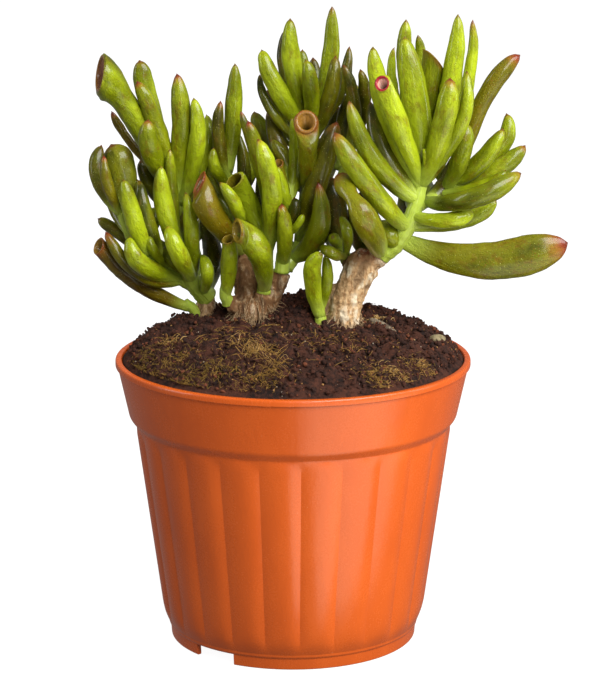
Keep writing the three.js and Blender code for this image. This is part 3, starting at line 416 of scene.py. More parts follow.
# (form, girth, root, middle, tip, tone, ripe, more): places are (across, up, back) in mm, tone goes
# from -1 dark to 1 bright and is partly the leaf's own green, partly painted shade on leaves that stand
# in shadow and painted light on leaves that stand in the light; ripe is how red the tip is. In more, mouth
# is how wide a cup opens and faces the way it opens to, lip is its inner radius as a share of the mouth,
# squeeze how flat the mouth is, cone how steadily its well narrows, flare where the outside widens and rim
# how pink it is; twist turns a leaf about its length, in degrees.
stems = [
    {"name": "stem_left_front", "thick": (3.6, 1.5),
     "path": [(-28.8, 19.5, 20), (-33, 24, 16), (-36.5, 31, 12), (-39.5, 41, 11), (-41, 50, 12)],
     "behind": {"count": 2, "from": 0.3, "to": 0.8, "turn": (-30, 60), "lift": 40, "reach": 20},
     "leaves": [
         ("finger", 6.2, (-36, 30, 13), (-42.3, 46.7, 8), (-44, 62.7, 6), 0.7, 0.1),
         ("finger", 6.2, (-33.7, 24, 14), (-38, 34, 5), (-41.7, 42.5, 2), 0.6, 0.5),
         ("finger", 4, (-37.7, 38.3, 14), (-40.3, 55, 13), (-41, 68.3, 12), 0.1, 0.3),
         ("finger", 5, (-33.3, 25, 14), (-33.5, 38.3, 9), (-36, 54, 7), 0.3, 0.3),
         ("finger", 4.4, (-29.5, 20.5, 18), (-28.8, 27, 11), (-30.3, 33.3, 10), 0.3, 0.2),
         ("blunt", 4.6, (-36, 28, 15), (-41, 30.5, 12), (-43, 35, 11), -0.4, 0.1),
     ]},
    {"name": "stem_left_side", "thick": (2.8, 1.5),
     "path": [(-33.6, 23.8, 17.4), (-40, 27, 14), (-47.5, 32, 10), (-53.5, 38.5, 8), (-57.5, 47.5, 8)],
     "behind": {"count": 5, "from": 0.1, "to": 0.9, "turn": (-35, 60), "lift": 25, "reach": 20},
     "leaves": [
         ("finger", 5.4, (-58.7, 48, 7), (-64.6, 59, 9), (-64, 69.7, 11), -0.7, 0.2),
         ("spoon", 10, (-57, 47.7, 9), (-56.8, 58.5, 13), (-60.5, 69.9, 14), -0.6, 0.2),
         ("finger", 3.8, (-58.3, 49.7, 6), (-61.5, 56, 2), (-63.3, 66.2, 2), -0.1, 0.7),
         ("finger", 6.2, (-47.7, 33.3, 9), (-53, 45, 3), (-56.7, 58.3, 1), 0.6, 0.1),
         ("finger", 3.4, (-49.3, 44, 14), (-51.5, 51, 17), (-53, 59.2, 18), -0.2, 0.7),
         ("finger", 5, (-42.7, 30, 13), (-47.7, 45, 10), (-51.3, 58, 9), -0.5, 0.2),
         ("finger", 6, (-37, 26, 15), (-49.6, 30, 5), (-54.3, 39.2, 2), 0.7, 0.1),
         ("finger", 3.2, (-41.7, 28.5, 14), (-45.7, 35, 10), (-48.3, 40.5, 8), 0.2, 0.2),
         ("finger", 4.4, (-50, 31.5, 12), (-58.7, 41, 15), (-64.8, 45.3, 16), -0.6, 0.3),
         ("blunt", 4.2, (-36.5, 24, 15), (-50.3, 26.7, 8), (-62.3, 40.8, 6), -0.4, 0.5),
     ]},
    {"name": "stem_left_back", "thick": (2.4, 1.5),
     "path": [(-29.6, 20.6, 22), (-32, 30, 25), (-34.5, 42, 26), (-38, 52, 25), (-39, 58, 24)],
     "behind": {"count": 6, "from": 0.2, "to": 1, "turn": (-60, 60), "lift": 34, "reach": 25},
     "leaves": [
         ("cup", 7.8, (-41.7, 50, 22), (-53, 79, 20), (-64, 93.8, 17), 0.2, 0.25,
          {"mouth": 13.2, "faces": (-1, -0.25, 0.2), "lip": 0.4, "flare": (0.66, 0.94), "rim": 0.4}),
         ("spoon", 6.6, (-38.5, 56.7, 26), (-46.8, 80, 29), (-51.2, 97.9, 29), 0.1, 0.3),
         ("finger", 5.7, (-38, 57, 22), (-46.2, 78, 19), (-51.8, 91, 18), 0.2, 0.6),
         ("blunt", 2.8, (-40, 53, 28), (-53.5, 70, 30), (-60.4, 81, 30), -0.3, 0.8),
         ("finger", 7, (-40, 52, 19), (-46.7, 66.7, 12), (-48.3, 78.2, 9), 0.2, 0.5),
         ("finger", 6.4, (-35.3, 51.7, 22), (-37.2, 75, 19), (-38.7, 93.4, 18), 0.3, 0.6),
         ("finger", 5.6, (-33.5, 50, 22), (-32, 69, 17), (-33, 85.4, 16), 0.6, 0.2),
         ("finger", 4.2, (-34, 50, 27), (-29, 67, 29), (-28.7, 79.7, 30), 0.3, 0.2),
         ("finger", 6.4, (-29.6, 20.6, 22), (-27.4, 33, 18), (-30.5, 46, 17), -0.8, 0.1),
         ("finger", 5, (-36, 45, 24), (-45.6, 54, 22), (-51, 64.5, 20), -0.8, 0.1),
     ]},
    {"name": "shoot_low_left", "thick": (2, 1.6),
     "path": [(-31.5, 12, 19), (-33.5, 15.5, 18), (-36, 17.5, 17)],
     "leaves": [
         ("cup", 5.6, (-34, 15.5, 18), (-49.8, 23, 12), (-64.8, 36.2, 9), -0.6, 0.6,
          {"mouth": 6, "faces": (-0.8, -0.45, 0.35), "lip": 0.4}),
     ]},
    {"name": "stem_middle_left", "thick": (2.4, 1.4),
     "path": [(-16.4, 33.5, 15), (-18, 43, 18), (-20, 52, 19), (-21.8, 61, 19)],
     "behind": {"count": 5, "from": 0.1, "to": 0.9, "turn": (-50, 60), "lift": 34, "reach": 24},
     "leaves": [
         ("cup", 9, (-17.5, 34, 15), (-26.4, 46, 7), (-31.2, 57.3, 3), 0.1, 1,
          {"mouth": 9.2, "faces": (-0.9, -0.2, 0.45), "lip": 0.42, "squeeze": 0.7}),
         ("finger", 4.6, (-18, 42, 16), (-18.4, 49, 4), (-24.3, 57.3, -1), 0.6, 0.3),
         ("finger", 4.2, (-22, 59, 19), (-24.7, 71.7, 17), (-24.3, 84.4, 17), -0.4, 0.5),
         ("finger", 5.6, (-21, 61.7, 20), (-20, 79, 19), (-19.4, 96.8, 18), 0.1, 0.2),
         ("finger", 4, (-21.5, 55, 17), (-26, 62, 12), (-26.5, 68.8, 11), 0.1, 0.2),
         ("finger", 4.4, (-19, 45, 19), (-27, 57, 25), (-29, 72, 30), -0.4, 0.2),
         ("finger", 4.6, (-17.6, 46, 18), (-16.2, 58, 21), (-18.4, 73.6, 23), -0.7, 0.1),
     ]},
    {"name": "stem_middle_front", "thick": (2.6, 1.5),
     "path": [(-9.6, 20.5, 6.5), (-8.8, 30, 8.5), (-8.6, 42, 10), (-9, 54, 11)],
     "behind": {"count": 1, "from": 0.5, "to": 0.9, "turn": (-20, 20), "lift": 40, "reach": 20},
     "leaves": [
         ("cup", 8.2, (-8.8, 21.5, 6), (-11.3, 34, -2), (-18.4, 41.2, -6), 0.3, 0.5,
          {"mouth": 8.4, "faces": (-0.85, -0.5, 0.15), "lip": 0.36, "squeeze": 0.72}),
         ("cup", 7.2, (-8.8, 36, 9), (-14.6, 49.5, 6), (-19.6, 58, 3), 0.8, 0.3,
          {"mouth": 8.4, "faces": (-0.55, -0.75, 0.35), "squeeze": 0.5}),
         ("finger", 3.2, (-9.4, 52, 12), (-13.7, 69, 13), (-17.4, 81, 13), -0.2, 0.5),
         ("finger", 5, (-8.8, 50, 10), (-11.2, 65, 6), (-15, 77.8, 4), 0.1, 0.6),
         ("finger", 6.4, (-8.6, 34, 8), (-7, 55, -1), (-11.7, 71.7, -3), 0.7, 0.4),
     ]},
    {"name": "shoot_middle_low", "thick": (2.3, 1.6),
     "path": [(-21.5, 17.6, 8), (-22.6, 20, 6.5), (-22.4, 24, 5.5)],
     "leaves": [
         ("cup", 5.6, (-22.6, 19, 6.5), (-21.4, 29.5, 2.5), (-21.6, 38.6, 1), 0.3, 0.5,
          {"mouth": 4.6, "faces": (-0.3, -0.5, 0.8)}),
     ]},
    {"name": "stem_middle_right", "thick": (2.6, 1.4),
     "path": [(-3.8, 27.6, 6.6), (-2.8, 36, 7.5), (-1.6, 46, 9), (-0.8, 56, 11), (-0.4, 62, 12)],
     "behind": {"count": 3, "from": 0.3, "to": 1, "turn": (-50, 50), "lift": 40, "reach": 22},
     "leaves": [
         ("finger", 5.2, (-3, 30, 6), (-2.6, 40, 0), (-3.7, 50.2, -3), 0.3, 0.6),
         ("finger", 4.4, (-2, 47.7, 7), (-3.6, 55, 2), (-5.6, 62.8, 0), 0.6, 0.2),
         ("cup", 3.6, (-1.5, 51.7, 9), (-3.6, 57.7, 7), (-5, 63.8, 6), -0.2, 0.6,
          {"mouth": 3.8, "faces": (-0.2, -0.6, 0.7)}),
         ("finger", 4.6, (-0.6, 60, 12), (-4, 66.7, 14), (-7.4, 71.4, 14), -0.6, 0.2),
         ("finger", 3, (-0.6, 54, 11), (0, 66, 10), (-0.3, 78.8, 9), 0, 0.2),
         ("blunt", 4, (-1.5, 42, 10), (0.3, 46.5, 8), (0.3, 52.2, 7), -0.5, 0.1),
         ("blunt", 2.6, (-1.8, 39.7, 7), (1.2, 43, 3), (3.4, 46.8, 2), 0.5, 0.1),
     ]},
    {"name": "stem_middle_tall", "thick": (2.6, 1.5),
     "path": [(-2.4, 29, 10), (2, 36, 14), (3.5, 48, 18), (4.5, 62, 20.5), (6.3, 76.7, 21)],
     "behind": {"count": 8, "from": 0.15, "to": 1, "turn": (-70, 60), "lift": 34, "reach": 28},
     "leaves": [
         ("finger", 6.2, (3.5, 72, 20), (-5, 88.3, 17), (-10.4, 101.4, 16), 0.6, 0.2),
         ("finger", 3.2, (3, 69, 22), (-7.3, 80.7, 23), (-11, 93.2, 23), -0.6, 0.2),
         ("finger", 6.2, (5, 76, 20), (0.3, 94.3, 15), (-1, 111.8, 13), 0.6, 0.2),
         ("finger", 4.6, (6, 76, 22), (4, 91, 22), (3.2, 101.5, 22), -0.2, 0.2),
         ("finger", 4, (4.5, 74, 22), (-2.6, 93, 26), (-2.4, 108.3, 27), -0.6, 0.3),
         ("finger", 5.4, (5.6, 74, 19), (6.2, 87.7, 11), (4.4, 98.2, 9), 0, 0.3),
         ("finger", 5.8, (7, 76, 22), (11.7, 94.3, 23), (13, 115.8, 22), 0.4, 0.3),
         ("finger", 5.4, (5.5, 70, 20), (12, 85, 15), (14.3, 99.4, 14), -0.6, 0.3),
         ("finger", 4.4, (6.5, 74, 22), (15.2, 87, 23), (18.8, 102.5, 23), -0.5, 0.3),
         ("cup", 6, (4, 52, 17), (5, 64.5, 7), (4.3, 77.6, 1), 0, 0.65,
          {"mouth": 8, "faces": (0.02, -0.94, 0.34), "lip": 0.32, "cone": 0.6}),
         ("blunt", 7.4, (2, 38, 15), (7.6, 56, 10), (14.6, 77.4, 6), -0.5, 0.4),
         ("bottle", 7.4, (1.2, 32, 12), (8.8, 41.2, 3), (8.4, 57.2, -1), 0.1, 0.6),
     ]},
    {"name": "shoot_low_front", "thick": (2.2, 1.6),
     "path": [(9.2, 9.5, -1), (9.2, 12.5, -1), (8.6, 15.5, -1.5)],
     "leaves": [
         ("finger", 5.8, (9, 12.5, -1), (6.4, 26.5, -4), (9.8, 33.8, -5), 0.8, 0.2),
         ("finger", 3.8, (9.2, 14.5, -1), (11.2, 24.5, -1.5), (10.6, 33, -1), 0.2, 0.2),
     ]},
    {"name": "stem_right_left", "thick": (2.2, 1.4),
     "path": [(18, 31.5, 6.5), (15, 38, 10), (14.5, 50, 14), (17, 62, 16), (19.5, 71, 17)],
     "behind": {"count": 6, "from": 0.05, "to": 1, "turn": (-75, 60), "lift": 30, "reach": 26},
     "leaves": [
         ("finger", 4.4, (18, 66, 16), (20.5, 82, 12), (16.7, 96.4, 10), -0.6, 0.3),
         ("finger", 4.4, (19.5, 70, 17), (23.6, 83, 15), (22.5, 95, 14), -0.6, 0.3),
         ("blunt", 4.2, (15.4, 36.5, 9), (14, 38, 3), (13, 39.2, -3), 0.7, 0),
         ("finger", 4, (17.4, 32.5, 7), (13.6, 32.7, 2), (9.2, 36, 1), 0.1, 0.1),
         ("finger", 3.4, (17.5, 33, 7), (18.4, 39.3, 2), (15.6, 46, 1), 0.2, 0.2),
         ("blunt", 8, (16, 34, 9), (14.2, 46, 9), (13, 59, 9), -0.8, 0.2),
         ("finger", 7, (17, 62, 16), (17.6, 74, 20), (19, 88, 22), -0.7, 0.2),
     ]},
    {"name": "crown_right", "thick": (3.6, 1.8),
     "path": [(29.5, 33.8, 0), (34, 37, -1.5), (38, 42.5, -3), (40.6, 49, -3), (42.5, 56, -2), (44, 62, 0)],
     "behind": {"count": 7, "from": 0.1, "to": 1, "turn": (-70, 60), "lift": 30, "reach": 26},
     "leaves": [
         ("knob", 8.4, (29.5, 33.8, -1), (23.2, 45.5, -7), (15.4, 59.8, -9), 0.2, 0.8),
         ("finger", 7, (41, 52, 0), (31, 66, 3), (26, 84, 5), -0.6, 0.2),
         ("blunt", 6.4, (31, 34.5, 0), (22.6, 37, 7), (19.5, 47, 10), -0.3, 0.1),
         ("blunt", 6.8, (38, 42.3, -5), (26.3, 55, -15), (14, 73.9, -17), 0.3, 0.5),
         ("finger", 6.4, (39.5, 52, -4), (27.6, 64, -8), (18.8, 84.4, -9), 0.1, 0.4),
         ("finger", 6.6, (41, 56, -3), (31.6, 80, -4), (26.7, 102.4, -5), 0.8, 0.2),
         ("cup", 6, (43, 57, -4), (36.9, 73.5, -12), (29.8, 90.4, -14), 0.8, 0.3,
          {"mouth": 5.8, "faces": (-0.45, -0.8, 0.4), "lip": 0.32, "rim": 1}),
         ("finger", 5.4, (42, 60, 2), (37.9, 91, 9), (37.6, 111.5, 10), 0.6, 0.3),
         ("finger", 8.6, (43.5, 60, -3), (40.9, 83.5, -5), (37.2, 105.8, -5), 0.7, 0.2),
         ("finger", 3.4, (42, 58, 1), (34.2, 84, 5), (33.8, 102.2, 6), 0.5, 0.3),
         ("finger", 4, (43.5, 62, 3), (43.4, 90, 10), (41.7, 106.4, 11), 0.1, 0.3),
         ("cup", 6.4, (44, 61, 0), (45.6, 80, 1), (46.8, 98, 1), 0.1, 0.5,
          {"mouth": 9.6, "faces": (0.75, 0.25, 0.62)}),
         ("blunt", 6.8, (43.5, 57, -3), (49.4, 74, -12), (52.4, 92, -14), 0.4, 0.5),
         ("finger", 6.6, (44, 60, 0), (52, 87, -3), (55, 113.2, -4), 0.7, 0.2),
         ("finger", 4.4, (44, 61, 2), (56.6, 84, 7), (60, 111.4, 8), 0.7, 0.4),
         ("finger", 4.6, (43.5, 59, -1), (55.5, 75.5, -8), (58, 94.4, -9), 0.3, 0.3),
         ("finger", 2.4, (43.5, 58, -4), (44.6, 64, -8), (43.3, 68.7, -9), 0.9, 0),
         ("finger", 2.4, (44, 60, -3), (46.6, 67.5, -7), (46.3, 74, -8), 0.9, 0),
         ("blunt", 6.4, (34, 36.5, -1), (31.6, 39.6, 1), (29, 43.6, 2), -0.5, 0.1),
         ("blunt", 5, (40.6, 46, -4), (51.3, 45.3, -9), (59.4, 47.8, -10), 0.9, 0.1),
         ("finger", 6.2, (39, 43.5, -2), (56.8, 45.4, -3), (67.6, 51.6, -4), 0.3, 0.2),
         ("paddle", 12.6, (35.5, 38.5, -2), (62, 31.4, -6), (91.2, 37.3, -8), 0, 0.7, {"twist": 12}),
     ]},
    {"name": "stem_right_side", "thick": (2.2, 1.4),
     "path": [(40.6, 49, -2), (45, 51.5, 2), (50, 55, 6), (55.5, 60.5, 9)],
     "behind": {"count": 6, "from": 0.1, "to": 1, "turn": (-50, 50), "lift": 28, "reach": 22},
     "leaves": [
         ("blunt", 5.6, (54, 61, 6), (63.3, 84.3, 7), (75.4, 99.8, 8), 0.1, 0.9),
         ("blunt", 5.8, (51, 57, 4), (55.8, 65.7, -6), (57.7, 77.4, -8), 0.2, 0.3),
         ("finger", 6, (52, 58, 5), (62.4, 64, 0), (69.8, 75.2, -1), 0.3, 0.3),
         ("finger", 5.8, (55, 61, 7), (69, 69, 9), (71.2, 80.2, 10), 0.3, 0.3),
         ("finger", 6.4, (51, 56.5, 4), (67.4, 61.4, 5), (77.2, 69.6, 6), 0.2, 0.5),
         ("blunt", 6.2, (45, 53.6, 0), (58.5, 51.2, -14), (75.8, 60.4, -14), -0.1, 0.4),
         ("finger", 3.4, (49, 55.5, 3), (63.8, 56.6, -2), (70.8, 61.4, -3), 0.2, 0.2),
     ]},
]

hiddenForms = ["finger", "finger", "spoon", "blunt"]
drawn = {"seed": 20261}


def draw():
    # a small repeatable draw from 0 to 1
    drawn["seed"] = drawn["seed"] * 16807 % 2147483647
    return drawn["seed"] / 2147483647


def hiddenLeaves(stem, path):
    # leaves round the back of a stem, in pairs that turn as they go up it
    behind = stem.get("behind", {"count": 0, "turn": (0, 0)})
    low, high = behind["turn"]
    leaves = []
    for i in range(behind["count"]):
        share = behind["from"] + (behind["to"] - behind["from"]) * (i + 0.5) / behind["count"]
        side = 0.75 if i % 2 else 0.25
        angle = math.radians(low + (high - low) * (side + 0.4 * (draw() - 0.5)))
        rise = math.radians(behind["lift"] + 24 * (share - 0.5) + 10 * (draw() - 0.5))
        length = behind["reach"] * (0.85 + 0.3 * draw())
        out = bearing(angle, rise) * [1, -1, 1]
        root = curvePoints(path, share)[0]
        form = hiddenForms[int(4 * draw())]
        leaves.append({"form": form, "girth": 4.4 + 1.8 * draw(), "root": root,
                       "middle": root + out * length * 0.5,
                       "tip": root + out * length * 0.92 + np.array([0, 0, length * 0.22])})
    return leaves


def growLeaves(stem, number):
    path = [seen(p) for p in stem["path"]]
    places = curvePoints(path, np.arange(41) / 40)
    leaves = []
    for form, girth, root, middle, tip, tone, ripe, *more in stem["leaves"]:
        near = np.linalg.norm(places - seen(root), axis=1).argmin()
        leaf = {"form": form, "girth": girth, "root": places[near].copy(), "middle": seen(middle),
                "tip": seen(tip), "tone": tone, "ripe": ripe}
        leaf.update(*more)
        leaves.append(leaf)
    leaves += hiddenLeaves(stem, path)
    for i, leaf in enumerate(leaves):
        leaf["stem"] = number
        # leaves without a tone of their own, mostly those hidden round the back, lean dark: painted shade
        leaf.setdefault("tone", -0.3 + 0.5 * math.sin(2.4 * i + number))
        leaf.setdefault("ripe", 0.35 + 0.25 * math.sin(4.1 * i + 2 * number))
    return leaves


def radiusAt(leaf, t):
    form = forms[leaf["form"]]
    t = np.asarray(t, float)
    swell = form["root"] + (1 - form["root"]) * np.sin(np.pi / 2 * np.minimum(1, t / form["full"]))
    half = leaf["girth"] / 2
    if leaf["form"] == "cup":
        low, high = leaf.get("flare", (flareFrom, 1))
        return half * swell + (leaf["mouth"] / 2 - half) * smoothStep(low, high, t)
    past = np.maximum(0, (t - form["shoulder"]) / (1 - form["shoulder"]))
    waist = 1 - form.get("waist", 0) * np.exp(-((t - waistAt["middle"]) / waistAt["spread"]) ** 2)
    return half * swell * waist * np.sqrt(np.maximum(0, 1 - past ** form["power"]))


def bendShares(t):
    # how much root, middle and tip weigh at t along a leaf
    return (1 - t) * (1 - 2 * t), 4 * t * (1 - t), t * (2 * t - 1)


def spine(leaf, t):
    shares = bendShares(np.asarray(t, float)[:, None])
    return sum(leaf[place] * share for place, share in zip(("root", "middle", "tip"), shares))


def heading(leaf, t):
    t = np.asarray(t, float)[:, None]
    return unit(leaf["root"] * (4 * t - 3) + leaf["middle"] * (4 - 8 * t) + leaf["tip"] * (4 * t - 1))


def turned(v, axis, angle):
    # v turned about a unit axis
    return (v * math.cos(angle) + np.cross(axis, v) * math.sin(angle)
            + axis * axis.dot(v) * (1 - math.cos(angle)))


def leafFrame(leaf, t):
    along = heading(leaf, t)
    chord = unit(leaf["tip"] - leaf["root"])
    x = turned(unit(np.cross(chord, sight)), chord, math.radians(leaf.get("twist", 0)))
    x = unit(x - along * (along @ x)[:, None])
    y = np.cross(along, x)
    if leaf["form"] != "cup":
        return x, y, along
    faces = unit(np.array(leaf["faces"], float))
    share = smoothStep(flareFrom, 1, np.asarray(t, float))[:, None]
    facing = unit(along * (1 - share) + faces * share)
    axis = unit(np.cross(along, facing))
    angle = np.arccos(np.clip((along * facing).sum(1), -1, 1))
    bend = [[turned(v, axis[k], angle[k]) for k, v in enumerate(side)] for side in (x, y)]
    return np.array(bend[0]), np.array(bend[1]), facing


# The leaves are eased apart where they would cross. Roots stay, and each leaf moves mostly along
# the line of sight.
settling = {
    "rounds": 90, "pullBack": 0.06,  # share of the way back to where it was seen, in each round
    "share": 0.45, "inPlane": 0.35,  # how far a push goes, in all and across the line of sight
    "flat": 0.35, "steer": 0.5,  # below flat, a push takes at least steer along the line of sight
    "kinFrom": 0.15, "kinRise": 2.4,  # leaves of one stem may touch up to here
    "apart": 0.75, "nearBy": 9, "aboveSoil": 1, "pastRim": 6, "lift": 0.6,
}
sampleAt = np.array([0.08, 0.2, 0.32, 0.44, 0.56, 0.67, 0.78, 0.88, 0.97])


def pushes(away, need, order):
    # the push on each point whose distance from another is less than it needs
    gap = np.linalg.norm(away, axis=1)
    away = unit(np.where(gap[:, None] < 1e-6, [0, 1e-3, 0], away))
    depth = away @ sight
    flat = (away - depth[:, None] * sight) * settling["inPlane"]
    least = np.maximum(np.abs(depth), settling["steer"])
    steer = np.where(np.abs(depth) < settling["flat"], order * least, depth)
    return unit(flat + steer[:, None] * sight) * (need - gap)[:, None]


def betweenLeaves(at, reach, stem, order):
    # who is pushed, at which sample and how far: leaves of one stem may touch near their roots
    grown = (reach + settling["apart"] / 2)[:, :, None]
    low, high = (at - grown).min(1), (at + grown).max(1)
    first, second = np.triu_indices(len(at), 1)
    meet = np.all((low[first] <= high[second]) & (low[second] <= high[first]), axis=1)
    a, b = first[meet], second[meet]
    away = at[a][:, :, None] - at[b][:, None]
    both = reach[a][:, :, None] + reach[b][:, None]
    lower = np.minimum(sampleAt[:, None], sampleAt)
    close = np.clip((lower - settling["kinFrom"]) * settling["kinRise"], 0, 1)
    need = np.where((stem[a] == stem[b])[:, None, None], both * close, both + settling["apart"])
    near = np.all(np.abs(away[..., [0, 2]]) <= settling["nearBy"], axis=-1)
    pair, p, q = np.nonzero(near & (np.linalg.norm(away, axis=-1) < need))
    a, b = a[pair], b[pair]
    sign = np.where(order[a] > order[b], 1, -1)
    push = settling["share"] * pushes(away[pair, p, q], need[pair, p, q], sign)
    return [(a, p, push), (b, q, -push)]


def offStems(at, reach, stem, obstacles):
    # the same, for leaves that are too close to a stem that isn't their own
    spots, spotReach, spotStem = obstacles
    who, k = np.indices(reach.shape).reshape(2, -1)
    at = at.reshape(-1, 3)
    need = reach.reshape(-1, 1) + spotReach + settling["apart"]
    near = (np.abs(at[:, None, 0] - spots[:, 0]) < need) & (stem[who][:, None] != spotStem)
    p, q = np.nonzero(near & (np.abs(at[:, None, 2] - spots[:, 2]) < need))
    away = at[p] - spots[q]
    hit = np.linalg.norm(away, axis=1) < need[p, q]
    p, q, away = p[hit], q[hit], away[hit]
    sign = np.where(away @ sight > 0, 1, -1)
    return [(who[p], k[p], 2 * settling["share"] * pushes(away, need[p, q], sign))]


def outOfSoil(at, reach):
    who, k = np.indices(reach.shape).reshape(2, -1)
    x, y, z = at.reshape(-1, 3).T
    sunk = soilTop(x, y) + reach.ravel() + settling["aboveSoil"] - z
    p = np.nonzero((sunk > 0) & (np.hypot(x, y) < potSize["rim"] + settling["pastRim"]))[0]
    return [(who[p], k[p], sunk[p, None] * [0, 0, settling["lift"]])]


def settle(leaves, obstacles):
    ends = {end: np.array([leaf[end] for leaf in leaves]) for end in ("root", "middle", "tip")}
    home = {end: ends[end].copy() for end in ("middle", "tip")}
    order = (ends["middle"] + ends["tip"]) @ sight
    stem = np.array([leaf["stem"] for leaf in leaves])
    thick = np.array([(1 + forms[leaf["form"]]["thick"]) / 2 for leaf in leaves])
    reach = np.array([radiusAt(leaf, sampleAt) for leaf in leaves]) * thick[:, None]
    shares = dict(zip(ends, bendShares(sampleAt)))
    for _ in range(settling["rounds"]):
        at = sum(ends[end][:, None] * shares[end][:, None] for end in ends)
        found = (*betweenLeaves(at, reach, stem, order), *offStems(at, reach, stem, obstacles),
                 *outOfSoil(at, reach))
        for end in home:
            move = np.zeros_like(ends[end])
            for who, k, push in found:
                np.add.at(move, who, push * np.maximum(0, shares[end][k])[:, None])
            ends[end] += move / np.maximum(np.linalg.norm(move, axis=1, keepdims=True), 1)
            drift = home[end] - ends[end]
            drift -= (drift @ sight)[:, None] * sight
            ends[end] += drift * settling["pullBack"]
    for i, leaf in enumerate(leaves):
        leaf.update({end: ends[end][i] for end in home})


def limbSpots(rows, radii, steps, number):
    # points along a stem, each with its radius, that leaves keep clear of
    shares = np.arange(steps + 1) / steps
    points = [seen(row) for row in rows]
    return curvePoints(points, shares), radiusAlong(radii, shares), np.full(steps + 1, number)


crops = [growLeaves(stem, i) for i, stem in enumerate(stems)]
spots = [limbSpots(stem["path"], stem["thick"], 16, i) for i, stem in enumerate(stems)]
for trunk in trunks:
    for path in trunk["paths"]:
        spots.append(limbSpots(path, [row[3] for row in path], 12, -1))

settle([leaf for crop in crops for leaf in crop], [np.concatenate(part) for part in zip(*spots)])
print("leaves grown:", sum(len(crop) for crop in crops))

leafLook = {
    "sides": 22, "rings": 30, "swell": 1.06,
    "lumps": 0.045, "lumpSize": 6,  # how much the girth wanders, as a share
    "dents": 0.15, "dentSize": 2.6, "wrinkle": 0.07, "wrinkleSize": 1.2,  # mm
    "wander": 0.3, "wanderSize": 9,  # mm that the spine wanders
    "nib": 0.5,  # mm that the tip's point stands out
    "lip": 0.38,  # inner radius of a cup's mouth, as a share of the mouth
    "hollow": 0.85,  # depth of a cup, as a share of the mouth
    "cone": 1.5, "lipRings": 6, "wellRings": 7,
    # mm between leaves in the shader's place and in their relief, so that no two look the same
    "apart": 23.0, "shift": (7.0, 3, 11),
}


def leafMarks(leaf, number, rings, t, inside=None):
    # what the shader reads: how far along, tone (partly painted shade and painted light), ripeness, how deep
    # in a cup, and a place on the leaf
    sides = rings.shape[1]

    def forPoints(values):
        return np.concatenate([[values[0]], np.repeat(values, sides), [values[-1]]])

    turn = roundTurn(sides)
    radius = np.linalg.norm(rings - rings.mean(1, keepdims=True), axis=2)
    length = np.linalg.norm(leaf["tip"] - leaf["root"])
    local = np.stack([np.cos(turn) * radius, np.sin(turn) * radius,
                      np.repeat((t * length)[:, None], sides, axis=1)], axis=-1)
    local = np.concatenate([[local[0].mean(0)], local.reshape(-1, 3), [local[-1].mean(0)]])
    reach = t * 0.96 if leaf.get("form") == "cup" else t
    return {"along": forPoints(reach), "inside": 0 if inside is None else forPoints(inside),
            "tone": leaf["tone"], "ripe": leaf["ripe"], "rim": leaf.get("rim", 0),
            "local": local + leafLook["apart"] * (number + 1)}


def addLeaf(shell, leaf, number):
    look = leafLook
    sides = look["sides"]
    t = 1 - (1 - np.linspace(0, 1, look["rings"] + 1)) ** 1.5
    if leaf["form"] != "cup":
        t = t[:-1]
    x, y, along = leafFrame(leaf, t)
    centres = spine(leaf, t)
    seedShift = np.array(look["shift"]) * number
    wander = np.stack([fieldNoise(centres + seedShift, look["wanderSize"], seed) for seed in (1, 2)], axis=1)
    fade = smoothStep(0.1, 0.4, t)[:, None] * look["wander"]
    centres = centres + (x * wander[:, :1] + y * wander[:, 1:]) * fade
    radius = radiusAt(leaf, t) * look["swell"]
    thick = forms[leaf["form"]]["thick"]
    squeeze = thick + (leaf.get("squeeze", thick) - thick) * smoothStep(flareFrom, 1, t)
    ring = ringsRound(centres, x, y, radius, radius * squeeze, sides)

    def rough(stretch, size, seed):
        return fieldNoise(ring.reshape(-1, 3) * stretch + seedShift, size, seed).reshape(len(t), sides)

    fold = np.cos(2 * roundTurn(sides) + 1.3 * number + 2 * t[:, None]) * 0.5
    relief = look["dents"] * rough(1, look["dentSize"], 6)
    relief += look["wrinkle"] * rough([1, 1, 0.6], look["wrinkleSize"], 4)
    scale = 1 + look["lumps"] * (rough(1, look["lumpSize"], 3) + fold)
    grown = radius[:, None] * scale + relief * smoothStep(0, 1.6, radius)[:, None]
    rings = ringsRound(centres, x, y, grown, grown * squeeze[:, None], sides)
    if leaf["form"] != "cup":
        marks = leafMarks(leaf, number, rings, t)
        shell.add(rings, leaf["root"], leaf["tip"] + along[-1] * look["nib"], marks)
        return
    lining, bottom, depth = cupLining(leaf, number, x[-1], y[-1], along[-1], squeeze[-1] / thick)
    rings = np.concatenate([rings, lining])
    inside = np.concatenate([np.zeros(len(t)), depth])
    t = np.concatenate([t, np.ones(len(lining))])
    shell.add(rings, leaf["root"], bottom, leafMarks(leaf, number, rings, t, inside))


